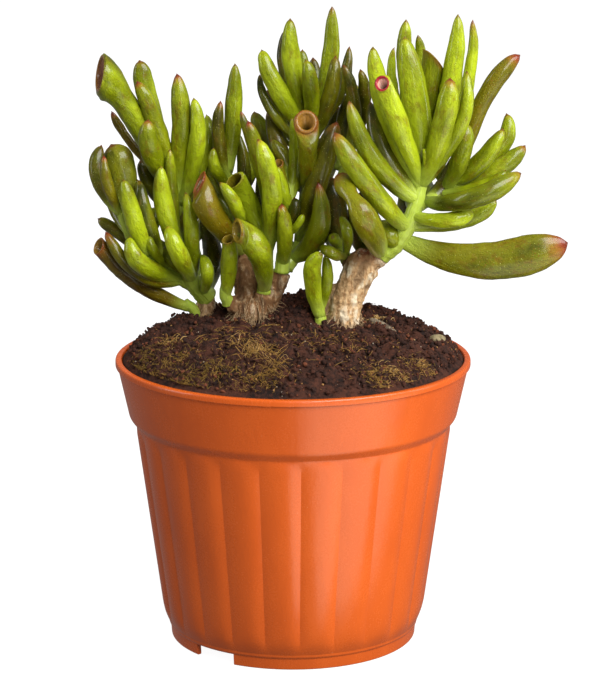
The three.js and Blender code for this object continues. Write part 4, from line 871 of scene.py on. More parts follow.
def cupLining(leaf, number, x, y, facing, squeeze):
    # rings for the lip that rolls over and the wall that goes down inside, and where the well ends
    look = leafLook
    mouth = leaf["mouth"]
    inner = mouth * leaf.get("lip", look["lip"])
    wall = mouth / 2 - inner
    roll = np.linspace(0.15, 1, look["lipRings"]) * np.pi
    down = np.linspace(0.12, 0.95, look["wellRings"])
    well = inner * (1 - 0.8 * down ** leaf.get("cone", look["cone"]))
    radius = np.concatenate([inner + wall / 2 * (1 + np.cos(roll)), well])
    inward = unit(spine(leaf, [0.75])[0] - leaf["tip"])
    lip = facing * (wall / 2 * np.sin(roll) * 0.8)[:, None]
    deep = (look["hollow"] * mouth * down)[:, None]
    axis = leaf["tip"] + np.concatenate([lip, inward * deep * 0.7 - facing * deep * 0.3])
    wide = radius[:, None] * (1 + 0.05 * np.cos(roundTurn(look["sides"]) * 2 + number))
    along = np.ones((len(axis), 1))
    rings = ringsRound(axis, along * x, along * y, wide, wide * squeeze, look["sides"])
    depth = np.concatenate([np.linspace(0, 0.3, look["lipRings"]), 0.4 + 0.6 * down])
    return rings, axis[-1] + inward * mouth * 0.1, depth


greenStem = {
    "sides": 20, "stepsPerPoint": 12,
    "ridge": 0.05, "ridgesApart": 5.5,  # leaf scars: a share of the radius, and mm
    "lump": 0.12, "lumpSize": 3,
    "numbersFrom": 90,  # stems are numbered from here in the shader's place
}


def addGreenStem(shell, stem, number):
    look = greenStem
    points = [seen(p) for p in stem["path"]]
    radii = np.linspace(*stem["thick"], len(points))
    steps = look["stepsPerPoint"] * (len(points) - 1)
    centres, x, y, along, radius = limbRings(points, radii, steps)
    reach = np.cumsum(np.linalg.norm(np.diff(centres, axis=0, prepend=centres[:1]), axis=1))
    radius = radius * (1 + look["ridge"] * np.cos(reach * 2 * np.pi / look["ridgesApart"]) ** 6)
    rings = ringsRound(centres, x, y, radius, radius, look["sides"])
    lump = fieldNoise(rings.reshape(-1, 3), look["lumpSize"], 5).reshape(rings.shape[:2]) * look["lump"]
    radius = radius[:, None] + lump
    rings = ringsRound(centres, x, y, radius, radius, look["sides"])
    whole = {"tone": 0.2, "ripe": 0, "root": points[0], "tip": points[-1]}
    marks = leafMarks(whole, look["numbersFrom"] + number, rings, np.zeros(steps))
    shell.add(rings, *limbEnds(centres, along, radii), marks)


leafColours = palette(
    deep=(48, 52, 0), mid=(112, 122, 2), lime=(166, 182, 24), base=(164, 182, 66), olive=(104, 72, 4),
    blush=(150, 92, 34), ripe=(124, 50, 24), nib=(92, 36, 20), speck=(214, 216, 120), seam=(86, 92, 2),
    moss=(122, 112, 20), cup=(156, 92, 44), well=(44, 34, 4), pink=(158, 30, 44), pale=(224, 168, 150),
)


def paintLeaf(flow):
    names = ("along", "tone", "ripe", "inside", "rim")
    along, tone, ripe, inside, rim = (flow.mark(name) for name in names)
    local = flow.mark("local", "Vector")
    broad = local.stretched(1, 1, 0.4).noise(0.16, 3)
    mottle = local.stretched(1, 1, 0.5).noise(0.6, 4, 0.6)
    fine = local.stretched(1, 1, 0.5).noise(2.4, 4, 0.65)
    ripple = local.stretched(1.2, 1.2, 0.42).noise(0.8, 4, 0.6)
    seams = local.stretched(1.6, 1.6, 0.28).noise(0.5, 3, 0.55)
    stain = local.stretched(1, 1, 0.55).noise(0.34, 5, 0.68)
    dots = local.stretched(1, 1, 0.8).cells(1.6)
    freckles = local.stretched(1, 1, 0.7).cells(1.7)
    # lightness from each leaf's tone, which carries painted shade and painted light, and from random patches
    light = (0.48 + tone * 0.4 + (broad - 0.5) * 1.2 + (mottle - 0.5) * 0.25).capped()
    specks = (1 - dots.step(0.08, 0.2)) * fine.step(0.42, 0.58) * (0.65 - tone * 0.25)
    spots = (1 - freckles.step(0.1, 0.26)) * mottle.step(0.42, 0.6) * (0.3 + ripe * 0.5)
    reach = along + ripe * 0.09 + (mottle - 0.5) * 0.08
    lining = ripe.step(0.35, 0.9).blend(leafColours["moss"], leafColours["cup"])
    colour = layered({**leafColours, "lining": lining}, "deep", [
        (light.step(0.05, 0.55), "mid"),
        (light.step(0.45, 0.95), "lime"),
        (seams.step(0.52, 0.7) * 0.07, "seam"),
        # more olive on darker-toned leaves, so this coat carries some of their painted shade
        ((ripe + broad * 0.9 - tone * 0.45).step(0.75, 1.6) * 0.75, "olive"),
        (stain.step(0.5, 0.68) * (0.4 + ripe * 0.35), "olive"),
        (1 - along.step(0.0, 0.28), "base"),
        (specks.capped(), "speck"),
        (spots.capped() * along.step(0.2, 0.6), "ripe"),
        (reach.step(0.92, 1.06) * ripe.step(0, 0.7) * 0.85, "blush"),
        (reach.step(0.985, 1.06) * ripe.step(0.05, 0.6), "ripe"),
        (along.step(0.975, 1) * (1 - inside.step(0, 0.02)) * 0.75, "nib"),
        (inside.step(0.02, 0.2), "lining"),
        (inside.step(0.02, 0.1) * rim, "pink"),
        # a pale band just inside a pink-rimmed cup: painted sheen on its glossy inner wall
        (inside.step(0.25, 0.42) * rim, "pale"),
        # the deep of a cup darkens to well: painted shade in its hollow
        (inside.step(0.45, 0.85), "well"),
    ])
    height = fine * 0.25 + mottle * 0.9 + ripple * 0.8 + seams * 0.25 - (1 - dots.step(0.05, 0.3)) * 0.3
    return colour, 0.34 + fine * 0.2 + mottle * 0.14, height.bump(0.0006, 0.95)


leafSkin = surface("leafSkin", {
    "Subsurface Weight": 0.1, "Subsurface Radius": (0.8, 1.0, 0.1), "Subsurface Scale": 0.0011,
    "Specular IOR Level": 0.1, "Coat Weight": 0.9, "Coat Roughness": 0.19, "Coat IOR": 1.38,
}, paintLeaf)

number = 0
for index, (stem, crop) in enumerate(zip(stems, crops)):
    shell = Shell()
    addGreenStem(shell, stem, index)
    for leaf in crop:
        addLeaf(shell, leaf, number)
        number += 1
    shell.piece(stem["name"] + "_skin", leafSkin, "leaf", [stem["name"]])
print("leaves shaped")


# Bark
barkLook = {
    "voxel": 0.36, "easeRounds": 4, "rootDepth": 17, "rootTaper": 0.8, "sides": 24, "stepsPerPoint": 10,
    "flake": 0.3, "furrow": 0.2, "grain": 0.16, "ridge": 0.16, "ridgesApart": 5.2,  # mm
    "flakeSizes": (1.9, 0.9), "furrowSize": 1.3, "grainSize": 0.6,  # mm
    "flakeRun": 0.45, "furrowRun": 0.25,  # the less, the longer they are up the stem
    "thicker": {"trunk_left": 0.3, "trunk_middle": 0.7, "trunk_right": 0.4},  # mm, for loose outer bark
    "brown": {"trunk_left": 0.35, "trunk_middle": 0.6, "trunk_right": 0.1},
}


def melded(shell, voxel, rounds):
    # one closed skin round all the parts of a shell, as points and faces
    lump = addMesh("meld", *shell.whole())
    wrap = lump.modifiers.new("wrap", "REMESH")
    wrap.mode = "VOXEL"
    wrap.voxel_size = voxel
    lump.modifiers.new("ease", "SMOOTH").iterations = rounds
    return takeShape(lump)


def takeShape(piece):
    # the points and faces of a piece with its modifiers, the faces as arrays of 3 and of 4 corners
    shown = piece.evaluated_get(bpy.context.evaluated_depsgraph_get())
    mesh = shown.to_mesh()
    points = np.empty(len(mesh.vertices) * 3)
    mesh.vertices.foreach_get("co", points)
    corners = np.empty(len(mesh.loops), np.int32)
    mesh.loops.foreach_get("vertex_index", corners)
    sizes = np.empty(len(mesh.polygons), np.int32)
    mesh.polygons.foreach_get("loop_total", sizes)
    starts = np.concatenate([[0], np.cumsum(sizes)[:-1]])
    faces = [corners[starts[sizes == n][:, None] + np.arange(n)] for n in np.unique(sizes)]
    shown.to_mesh_clear()
    discard(piece)
    return points.reshape(-1, 3), faces


def discard(piece):
    mesh = piece.data
    bpy.data.objects.remove(piece)
    bpy.data.meshes.remove(mesh)


def outward(points, faces):
    # a unit normal for each point
    normals = np.zeros_like(points)
    for f in faces:
        face = np.cross(points[f[:, 1]] - points[f[:, 0]], points[f[:, -1]] - points[f[:, 0]])
        for k in range(f.shape[1]):
            np.add.at(normals, f[:, k], face)
    return unit(normals)


def growTrunk(trunk):
    look = barkLook
    name = trunk["name"]
    shell = Shell()
    for i, path in enumerate(trunk["paths"]):
        points = [seen(row) for row in path]
        radii = [row[3] + look["thicker"][name] for row in path]
        if i == 0:
            points.insert(0, points[0] - [0, 0, look["rootDepth"]])
            radii.insert(0, radii[0] * look["rootTaper"])
        addLimb(shell, points, radii, look["sides"], look["stepsPerPoint"] * len(points))
    points, faces = melded(shell, look["voxel"], look["easeRounds"])
    tall = points * [1, 1, look["flakeRun"]]
    large, small = look["flakeSizes"]
    plates = fieldNoise(tall, large, 11) + 0.5 * fieldNoise(tall, small, 12)
    flakes = smoothStep(-0.1, 0.12, plates) * 0.6 + smoothStep(0.35, 0.5, plates) * 0.4
    ring = np.cos(points[:, 2] * 2 * np.pi / look["ridgesApart"] + 1.5 * fieldNoise(points, 6, 13)) ** 8
    furrow = smoothStep(0.25, 0.6, -fieldNoise(points * [1, 1, look["furrowRun"]], look["furrowSize"], 14))
    move = (look["flake"] * (flakes - 0.5) - look["furrow"] * furrow
            + look["grain"] * fieldNoise(points, look["grainSize"], 15) + look["ridge"] * ring)
    marks = {"flake": flakes, "crack": furrow, "rise": points[:, 2],
             "brown": np.full(len(points), look["brown"][name])}
    points = points + outward(points, faces) * move[:, None]
    makePiece(name + "_bark", points, faces, barkSkin, "bark", [name], marks)


barkColours = palette(
    cream=(206, 170, 124), tan=(172, 130, 86), brown=(126, 88, 54), white=(230, 212, 180),
    dark=(58, 38, 26), rust=(132, 70, 42),
)


def paintBark(flow):
    flake, crack, rise, brown = (flow.mark(name) for name in ("flake", "crack", "rise", "brown"))
    place = flow.mark("place", "Vector")
    broad = place.stretched(1, 1, 0.7).noise(0.2, 3)
    mid = place.stretched(1, 1, 0.6).noise(0.8, 5, 0.65)
    fine = place.stretched(1, 1, 0.5).noise(3.2, 4, 0.65)
    colour = layered(barkColours, "tan", [
        (mid.step(0.34, 0.6), "cream"),
        ((flake * 0.35 + broad * 0.9).step(0.62, 0.9), "white"),
        ((brown + (1 - flake) * 0.25 + (0.5 - mid)).step(0.25, 0.9), "brown"),
        (rise.step(127, 134) * mid.step(0.4, 0.54), "rust"),
        (fine.step(0.54, 0.7) * 0.45, "brown"),
        (crack * 0.5, "dark"),
    ])
    return colour, 0.72 + fine * 0.25, (fine * 0.7 + mid).bump(0.0006, 0.9)


# Soil
soilLook = {
    "rings": 120, "spokes": 520, "grain": 0.7,
    "crumbs": 9000, "crumbSize": (0.2, 1.1), "crumbsTo": 56.5,  # mm; the last is how far out they lie
    "coarse": (7, 4), "fine": (5, 3), "coarseOver": 0.6,  # sides and rings of a crumb
    "crumbBias": 2.6,  # the more, the more of them are small
    "crumbFlat": (0.6, 1), "crumbRough": 0.9, "crumbRaised": 0.35,  # shares of its half size
}


def innerWall(grow):
    # corners (radius, height) of the pot's inside, with its radius at the rim; grow narrows it in mm
    p = potSize
    floor = p["footHeight"] + p["plate"] + 1
    inset = p["wall"] + p["fluteDepth"] + grow
    return {
        "foot": (bodyRadius(floor) - p["cornerPull"] - inset, floor + grow),
        "top": (p["bodyTop"] - inset, p["bodyTopHeight"] + 0.6 + grow),
        "ledge": (p["collarFoot"] - p["wall"] - grow, p["collarFootHeight"] + 0.8 + grow),
        "rim": p["collarTop"] - p["wall"] - grow,
    }


def soilRelief(points):
    # clods, crumbs and grains of the soil's top, in mm
    lumps = np.abs(fieldNoise(points, 6, 21)) * 0.5 + fieldNoise(points, 2.6, 22) * 0.75
    return lumps + fieldNoise(points, 1.2, 23) * 0.65 + fieldNoise(points, 0.6, 24) * 0.45 - 0.45


def ballRings(sides, many):
    # rings of a ball with a radius of 1, without its poles
    rise = ((np.arange(many) + 1) * np.pi / (many + 1))[:, None]
    turn = roundTurn(sides)
    return np.stack([np.sin(rise) * np.cos(turn), np.sin(rise) * np.sin(turn), 0 * turn - np.cos(rise)], -1)


def growSoil():
    s = soilLook
    wall = innerWall(soilSize["clearance"])
    turn = roundTurn(s["spokes"])
    circle = np.stack([np.cos(turn), np.sin(turn), np.zeros_like(turn)], axis=1)
    edge = (wall["rim"], soilTop(wall["rim"] * circle[:, 0], wall["rim"] * circle[:, 1]))
    stretches = [(wall["foot"], wall["top"], 6), (wall["top"], wall["ledge"], 6), (wall["ledge"], edge, 5)]
    rings = []
    for low, high, steps in stretches:
        for share in np.arange(steps) / steps:
            radius, height = (a * (1 - share) + b * share for a, b in zip(low, high))
            ring = circle * radius
            ring[:, 2] = height
            rings.append(ring)
    for k in range(s["rings"], 0, -1):
        ring = circle * wall["rim"] * k / s["rings"]
        ring[:, 2] = soilTop(ring[:, 0], ring[:, 1])
        inner = 1 - smoothStep(0.95, 1, k / s["rings"])
        ring[:, 2] += soilRelief(ring) * s["grain"] * (0.35 + 0.65 * inner)
        rings.append(ring)
    shell = Shell()
    bottom, top = np.array([0, 0, wall["foot"][1]]), np.array([0, 0, rings[-1][:, 2].mean()])
    shell.add(np.array(rings), bottom, top, {"tint": 0})
    addCrumbs(shell)
    shell.piece("soil_crumbly", soilSkin, "potting_soil", ["soil"])


# Kinds of crumb: (tint for the shader, share of all, size)
crumbKinds = [
    (0.15, 0.42, 1.0), (0.35, 0.33, 1.0), (0.55, 0.15, 0.8), (0.75, 0.075, 0.42), (0.95, 0.025, 0.3),
]


def addCrumbs(shell):
    chance = np.random.default_rng(41)
    low, high = soilLook["crumbSize"]
    kinds = chance.choice(len(crumbKinds), soilLook["crumbs"], p=[k[1] for k in crumbKinds])
    for kind in kinds:
        tint, _, size = crumbKinds[kind]
        turn = chance.uniform(0, 2 * np.pi)
        out = soilLook["crumbsTo"] * math.sqrt(chance.uniform(0, 1))
        girth = (low + (high - low) * chance.uniform(0, 1) ** soilLook["crumbBias"]) * size
        halves = girth * chance.uniform(*soilLook["crumbFlat"], 3)
        addCrumb(shell, (out * math.cos(turn), out * math.sin(turn)), halves, tint, chance)


def addCrumb(shell, at, halves, tint, chance):
    rings = ballRings(*soilLook["coarse" if max(halves) > soilLook["coarseOver"] else "fine"])
    rough = 1 + soilLook["crumbRough"] * (chance.random(rings.shape[:2]) - 0.5)
    spin = np.linalg.qr(chance.normal(size=(3, 3)))[0]
    if np.linalg.det(spin) < 0:
        spin[:, 0] *= -1
    place = onSoil(at, soilLook["crumbRaised"] * min(halves))
    low, high = (place + np.array([0, 0, side]) * halves @ spin.T for side in (-1, 1))
    shell.add((rings * rough[..., None] * halves) @ spin.T + place, low, high, {"tint": tint})


soilColours = palette(
    dark=(24, 13, 9), peat=(48, 29, 23), earth=(74, 41, 28), rust=(118, 66, 42), straw=(176, 130, 76),
    grain=(206, 190, 166),
)


def paintSoil(flow):
    tint = flow.mark("tint")
    place = flow.mark("place", "Vector")
    broad = place.noise(0.14, 3)
    mid = place.noise(0.7, 6, 0.7)
    fine = place.noise(3, 5, 0.7)
    colour = layered(soilColours, "dark", [
        ((mid * 0.6 + broad * 0.5).step(0.42, 0.66), "earth"),
        (fine.step(0.56, 0.72) * 0.6, "rust"),
        ((1 - fine).step(0.58, 0.7) * 0.8, "dark"),
        (tint.step(0.05, 0.15) * 0.5, "peat"),
        (tint.step(0.2, 0.35) * 0.7, "earth"),
        (tint.step(0.4, 0.55) * 0.8, "rust"),
        (tint.step(0.6, 0.75), "straw"),
        (tint.step(0.8, 0.95), "grain"),
    ])
    return colour, 0.8 + fine * 0.2, (fine + mid * 0.7).bump(0.0007, 0.9)


soilSkin = surface("soilSkin", {"Specular IOR Level": 0.25}, paintSoil)
growSoil()

coverLook = {
    "reach": 56, "reachEnds": 56.6, "girth": (0.05, 0.11), "sides": 3, "steps": 6,  # mm
    # shares of a strand's length: how long it is, where it bends, how far on it ends, how it strays
    "lengths": (0.4, 1.1), "knee": 0.45, "beyond": 0.4, "stray": 0.3,
    "least": 0.35, "clear": 0.25,  # mm by which it rises at least, and clears the soil
}

# Moss and fibres that lie on the soil: (x, y, spread across, spread back, strands, length,
# tint from green to gold, how upright)
tufts = [
    (-40, -32, 10, 8, 200, 2.4, 0.2, 0.3), (-28, -44, 13, 6, 300, 2.4, 0.15, 0.3),
    (-11, -50, 10, 4, 240, 2.4, 0.3, 0.3), (-13, -35, 5, 6, 90, 6, 0.55, 0.6),
    (-7, -43, 5, 6, 70, 5, 0.45, 0.5), (-41, -18, 4, 5, 50, 4, 0.5, 0.5),
    (-49, -20, 5, 9, 120, 2.6, 0.1, 0.3), (33, -41, 9, 3, 150, 2.2, 0.5, 0.2),
    (41, -32, 6, 5, 140, 2.6, 0.45, 0.2), (27, -46, 6, 4, 140, 2.8, 0.35, 0.2),
    (29, 5, 4, 4, 90, 3, 0.8, 0.3), (-20, -20, 16, 14, 150, 4, 0.4, 0.2), (14, -28, 20, 16, 110, 4, 0.4, 0.2),
]


def growCover():
    look = coverLook
    chance = np.random.default_rng(57)
    shell = Shell()
    for x, y, wide, deep, strands, length, tint, stand in tufts:
        for _ in range(strands):
            at = np.array([x, y]) + chance.normal(size=2) * [wide, deep] * 0.5
            at *= min(1, look["reach"] / np.hypot(*at))
            turn = chance.uniform(0, 2 * np.pi)
            reach = length * chance.uniform(*look["lengths"])
            lean = np.array([math.cos(turn), math.sin(turn), 0])
            foot = onSoil(at, 0.1)
            rise = stand * reach * chance.uniform(0.1, 1) + look["least"]
            middle = foot + lean * reach * look["knee"] + [0, 0, rise]
            drop = rise * chance.uniform(0, 0.8)
            stray = chance.normal(size=2) * look["stray"] * reach
            tip = middle + lean * reach * look["beyond"] + [*stray, -drop]
            for place in (middle, tip):
                place[:2] *= min(1, look["reachEnds"] / np.hypot(*place[:2]))
                place[2] = max(place[2], soilTop(*place[:2]) + look["clear"])
            girth = chance.uniform(*look["girth"])
            marks = {"tint": np.clip(tint + chance.normal() * 0.12, 0, 1)}
            radii = [girth, girth, girth * 0.5]
            addLimb(shell, [foot, middle, tip], radii, look["sides"], look["steps"], marks)
    shell.piece("soil_moss_fibres", mossSkin, "potting_soil")


mossColours = palette(green=(112, 88, 26), gold=(150, 112, 50), straw=(222, 186, 120), brown=(74, 44, 26))


def paintMoss(flow):
    tint = flow.mark("tint")
    fine = flow.mark("place", "Vector").noise(1.2, 4, 0.6)
    colour = layered(mossColours, "green", [
        (tint.step(0.05, 0.45), "gold"),
        (tint.step(0.5, 0.95), "straw"),
        (fine.step(0.48, 0.66) * 0.6, "brown"),
    ])
    return colour, 0.6 + fine * 0.3, fine.bump(0.0002)


mossSkin = surface("mossSkin", {"Specular IOR Level": 0.3}, paintMoss)
growCover()
print("soil laid")


# Pot
potLook = {
    "stepsPerFlute": 16, "filletSteps": 9, "cornerSteps": 8, "bodySteps": 36, "notchSteps": 13,
    "holeSides": 32, "crease": 13,  # degrees from which a bend in the wall stays sharp
    "fluteEnd": 1.6,  # mm over which a flute's top end rounds off
    "fluteArch": (1.6, 2.2),  # mm by which that end is higher in the flute's middle, and how blunt it is
    # mm: where flutes start to rise, how far over the corner they are full, and the share kept below
    "fluteFoot": (4.6, 3, 0.4),
}


def rounded(profile):
    # rounds the corners of a profile of (radius, height, fillet)
    points = []
    for k, (r, z, fillet) in enumerate(profile):
        here = np.array([r, z], float)
        if not fillet:
            points.append(here)
            continue
        sides = [np.array(profile[n][:2], float) - here for n in (k - 1, k + 1)]
        pull = min(fillet, *(0.45 * np.linalg.norm(side) for side in sides))
        start, end = (here + unit(side) * pull for side in sides)
        for share in np.linspace(0, 1, potLook["filletSteps"]):
            points.append(start * (1 - share) ** 2 + here * 2 * share * (1 - share) + end * share ** 2)
    return np.array(points)


def potProfile():
    # the pot's section from the middle of its underside, round the rim, to the middle of its floor
    p = potSize
    wall = innerWall(0)
    low = p["footHeight"]
    high = p["height"]
    floor = wall["foot"][1]
    footInside = p["foot"] - p["footWall"]
    corner = [(bodyRadius(low) - p["cornerPull"], low, 0.5)]
    for z in np.linspace(low + 0.6, p["cornerHeight"], potLook["cornerSteps"]):
        pull = p["cornerPull"] * ((p["cornerHeight"] - z) / (p["cornerHeight"] - low)) ** 2
        corner.append((bodyRadius(z) - pull, z, 0))
    body = [(bodyRadius(z), z, 0) for z in np.linspace(12, p["bodyTopHeight"] - 1, potLook["bodySteps"])]
    return rounded([
        (0.0, floor - p["plate"], 0), (footInside, floor - p["plate"], 0.5),
        (footInside - 0.3, 0, 0.4), (p["foot"] - 0.3, 0, 0.4), (p["foot"], low, 0.2),
        *corner, *body,
        (p["bodyTop"], p["bodyTopHeight"], 0.4), (p["collarFoot"], p["collarFootHeight"], 1.0),
        (p["collarTop"], high - p["bead"], 0.25), (p["rim"], high - p["bead"], 0.3),
        (p["rim"], high, 0.9), (wall["rim"], high, 0.5),
        (*wall["ledge"], 0.6), (*wall["top"], 0.6), (*wall["foot"], 1.2), (0.0, floor, 0),
    ])


def potRings(profile):
    p = potSize
    sides = p["flutes"] * potLook["stepsPerFlute"]
    turn = p["firstCrease"] + np.arange(sides) * 360 / sides
    share = (turn - p["firstCrease"]) / (360 / p["flutes"]) % 1
    crest = p["fluteCrest"]
    rise = np.where(share < crest, share / crest, (1 - share) / (1 - crest))
    swell = p["fluteDepth"] * (1 - (1 - rise) ** 2)
    mean = p["fluteDepth"] / 2
    archHeight, archPower = potLook["fluteArch"]
    lower = archHeight * np.abs(2 * share - 1) ** archPower
    start, full, kept = potLook["fluteFoot"]
    top = p["bodyTopHeight"]
    rings = []
    for r, z in profile[1:-1]:
        radius = np.full(sides, r)
        if p["footHeight"] + 1 < z < top + 0.1 and r > bodyRadius(z) - 2.2:
            closing = smoothStep(0, potLook["fluteEnd"], top - 0.3 - z - lower)
            fade = smoothStep(start, p["cornerHeight"] + full, z)
            radius = r - mean + (mean + (swell - mean) * closing) * fade + mean * (1 - fade) * kept
        angle = np.radians(turn)
        rings.append(np.stack([radius * np.sin(angle), -radius * np.cos(angle), np.full(sides, z)], axis=1))
    return np.array(rings)


def cutShape(name, rings, start, end):
    # a closed shape in the scene, for making the pot and what is cut out of it
    shell = Shell()
    shell.add(rings, start, end)
    return addMesh(name, *shell.whole())


def notchShape(left, right):
    # a wedge that opens the foot ring between two bearings
    p = potSize
    inner, outer, top = p["foot"] - p["footWall"] - 2, p["foot"] + 3, p["footHeight"] - 0.1
    corners = [(outer, -1), (inner, -1), (inner, top), (outer, top)]
    rings = np.array([[bearing(turn) * out + [0, 0, z] for out, z in corners]
                      for turn in np.radians(np.linspace(left, right, potLook["notchSteps"]))])
    return cutShape("notch", rings, rings[0].mean(0), rings[-1].mean(0))


def drainShape(number):
    p = potSize
    turn = (number + 0.5) * 2 * math.pi / p["drainHoles"]
    middle = np.array([p["drainRing"] * math.cos(turn), p["drainRing"] * math.sin(turn), 0])
    angle = roundTurn(potLook["holeSides"])
    circle = np.stack([np.cos(angle), np.sin(angle), 0 * angle], axis=1) * p["drainRadius"]
    ends = [middle + [0, 0, z] for z in (0.5, p["footHeight"] + 8)]
    return cutShape("drain", np.array([circle + end for end in ends]), *ends)


def growPot():
    profile = potProfile()
    ends = [np.array([0, 0, z]) for z in profile[[0, -1], 1]]
    lathe = cutShape("lathe", potRings(profile)[:, ::-1], *ends)
    cutters = [notchShape(*turns) for turns in potSize["notches"]]
    cutters += [drainShape(i) for i in range(potSize["drainHoles"])]
    for cutter in cutters:
        cut = lathe.modifiers.new("cut", "BOOLEAN")
        cut.operation = "DIFFERENCE"
        cut.solver = "MANIFOLD"
        cut.object = cutter
    lathe.modifiers.new("corners", "TRIANGULATE").min_vertices = 5
    points, faces = takeShape(lathe)
    for cutter in cutters:
        discard(cutter)
    makePiece("pot_fluted", points, faces, potSkin, "terracotta_plastic", ["pot"],
              sharpAngle=potLook["crease"])


potColours = palette(deep=(186, 78, 20), bright=(197, 86, 25), chalk=(236, 180, 140))


def paintPot(flow):
    place = flow.mark("place", "Vector")
    broad = place.noise(0.03, 3)
    cloudy = place.stretched(1, 1, 0.35).noise(0.12, 4, 0.6)
    fine = place.noise(1.6, 4, 0.6)
    specks = place.cells(0.35)
    colour = layered(potColours, "deep", [
        ((broad * 0.6 + cloudy * 0.4).step(0.3, 0.7), "bright"),
        ((1 - specks.step(0.02, 0.07)) * fine.step(0.5, 0.6) * 0.35, "chalk"),
    ])
    return colour, 0.2 + cloudy * 0.08 + fine * 0.06, (fine * 0.5 + cloudy * 2.5).bump(0.00012, 0.6)


potSkin = surface("potSkin", {"Specular IOR Level": 0.5}, paintPot)
growPot()
print("pot turned")

# Bark, roots, and the loose things on the soil
barkSkin = surface("barkSkin", {"Specular IOR Level": 0.3}, paintBark)

for trunk in trunks:
    growTrunk(trunk)


rootLook = {
    "girth": (0.06, 0.2), "sides": 6, "steps": 10,
    # shares of the way out at which a root starts, bends and ends, and mm by which the last two stray
    "starts": (0.75, 1), "bends": (1.0, 1.25), "ends": (1.2, 1.75), "strays": (0.6, 1.2),
    # how many roots, and how far out and how high they start, in mm
    "trunk_left": (50, 3.4, 4), "trunk_middle": (240, 6.2, 7), "trunk_right": (120, 4.8, 5),
}


def growRoots():
    # fine roots that leave the feet of the woody stems
    look = rootLook
    chance = np.random.default_rng(73)
    shell = Shell()
    for trunk in trunks:
        many, spread, top = look[trunk["name"]]
        foot = seen(trunk["paths"][0][0])[:2]
        for _ in range(many):
            turn = chance.uniform(0, 2 * np.pi)
            way = np.array([math.cos(turn), math.sin(turn)])
            at = foot + way * spread * chance.uniform(*look["starts"])
            bend, off = (foot + way * spread * chance.uniform(*look[part]) + chance.normal(size=2) * stray
                         for part, stray in zip(("bends", "ends"), look["strays"]))
            rise = chance.uniform(0, 1) ** 1.6 * top + 0.6
            path = [onSoil(at, rise), onSoil(bend, rise * 0.4), onSoil(off, -0.3)]
            girth = chance.uniform(*look["girth"])
            addLimb(shell, path, [girth, girth, girth * 0.5], look["sides"], look["steps"])
    shell.piece("root_fibres", rootSkin, "bark")


rootColours = palette(dark=(104, 78, 52), pale=(176, 148, 110))


def paintRoot(flow):
    fine = flow.mark("place", "Vector").noise(1.6, 4, 0.6)
    colour = layered(rootColours, "dark", [(fine.step(0.35, 0.65), "pale")])
    return colour, 0.7 + fine * 0.25, fine.bump(0.0003)


rootSkin = surface("rootSkin", {"Specular IOR Level": 0.3}, paintRoot)
growRoots()

pebble = {
    "halfSize": (3, 2.4, 1.9), "sides": 40, "rings": 24, "at": (48.4, -5.5), "turn": 20, "raised": 0.5,
}
chip = {
    "outline": [(-6.4, -0.9), (-5, -1.5), (1, -1.4), (5.2, -0.8),
                (6.3, 0.2), (3, 1.3), (-2, 1.4), (-5.6, 0.6)],
    # its section: share of the outline, and share of half its thickness
    "layers": [(0.35, -0.96), (0.8, -1), (0.97, -0.85), (1, -0.3), (0.98, 0.1), (1.0, 0.45),
               (0.96, 0.85), (0.8, 1), (0.55, 0.98), (0.25, 1.0)],
    "sides": 96, "thick": 1.7, "at": (30.5, -2), "tilt": 12, "turn": -48, "raised": 0.6,
}


def laid(points, look):
    # points of a loose thing, tilted, turned and put down on the soil
    tilt, turn = math.radians(look.get("tilt", 0)), math.radians(look["turn"])
    lean = np.array([[math.cos(tilt), 0, math.sin(tilt)], [0, 1, 0], [-math.sin(tilt), 0, math.cos(tilt)]])
    spin = np.array([[math.cos(turn), -math.sin(turn), 0], [math.sin(turn), math.cos(turn), 0], [0, 0, 1]])
    return points @ lean.T @ spin.T + onSoil(look["at"], look["raised"])


def growPebble():
    rings = ballRings(pebble["sides"], pebble["rings"])
    flat = rings.reshape(-1, 3)
    lump = 1 + 0.07 * fieldNoise(flat, 0.9, 31) + 0.03 * fieldNoise(flat, 0.35, 32)
    moved = laid(flat * lump[:, None] * pebble["halfSize"], pebble)
    low, high = (laid(np.array([0, 0, side * pebble["halfSize"][2]]), pebble) for side in (-1, 1))
    shell = Shell()
    shell.add(moved.reshape(rings.shape), low, high)
    shell.piece("pebble_stone", pebbleSkin, "pebble", ["pebble"])


def growChip():
    closed = np.array([*chip["outline"], chip["outline"][0]], float)
    again = np.linspace(0, len(chip["outline"]), chip["sides"], endpoint=False)
    edge = np.stack([np.interp(again, np.arange(len(closed)), closed[:, k]) for k in (0, 1)], axis=1)
    edge += 0.14 * np.stack([fieldNoise(np.c_[edge, 0 * again], 0.7, s) for s in (33, 34)], axis=1)
    half = chip["thick"] / 2
    rings = np.array([np.c_[edge * scale, np.full(len(edge), level * half)]
                      for scale, level in chip["layers"]])
    flat = rings.reshape(-1, 3)
    flat[:, 2] += 0.16 * fieldNoise(flat * [0.35, 1, 1], 0.8, 35) + 0.06 * fieldNoise(flat, 0.3, 36)
    shell = Shell()
    ends = [laid(rings[k].mean(0), chip) for k in (0, -1)]
    shell.add(laid(flat, chip).reshape(rings.shape), *ends)
    shell.piece("bark_chip_flake", chipSkin, "chip", ["bark_chip"])


pebbleColours = palette(dark=(96, 84, 56), pale=(146, 132, 98), stain=(66, 48, 34))


def paintPebble(flow):
    place = flow.mark("place", "Vector")
    broad = place.noise(0.5, 4, 0.6)
    fine = place.noise(3, 4, 0.6)
    colour = layered(pebbleColours, "dark", [
        (broad.step(0.35, 0.65), "pale"),
        (fine.step(0.55, 0.7) * 0.5, "stain"),
    ])
    return colour, 0.65 + fine * 0.3, (fine + broad).bump(0.0004)


chipColours = palette(dark=(70, 56, 44), pale=(142, 128, 106))


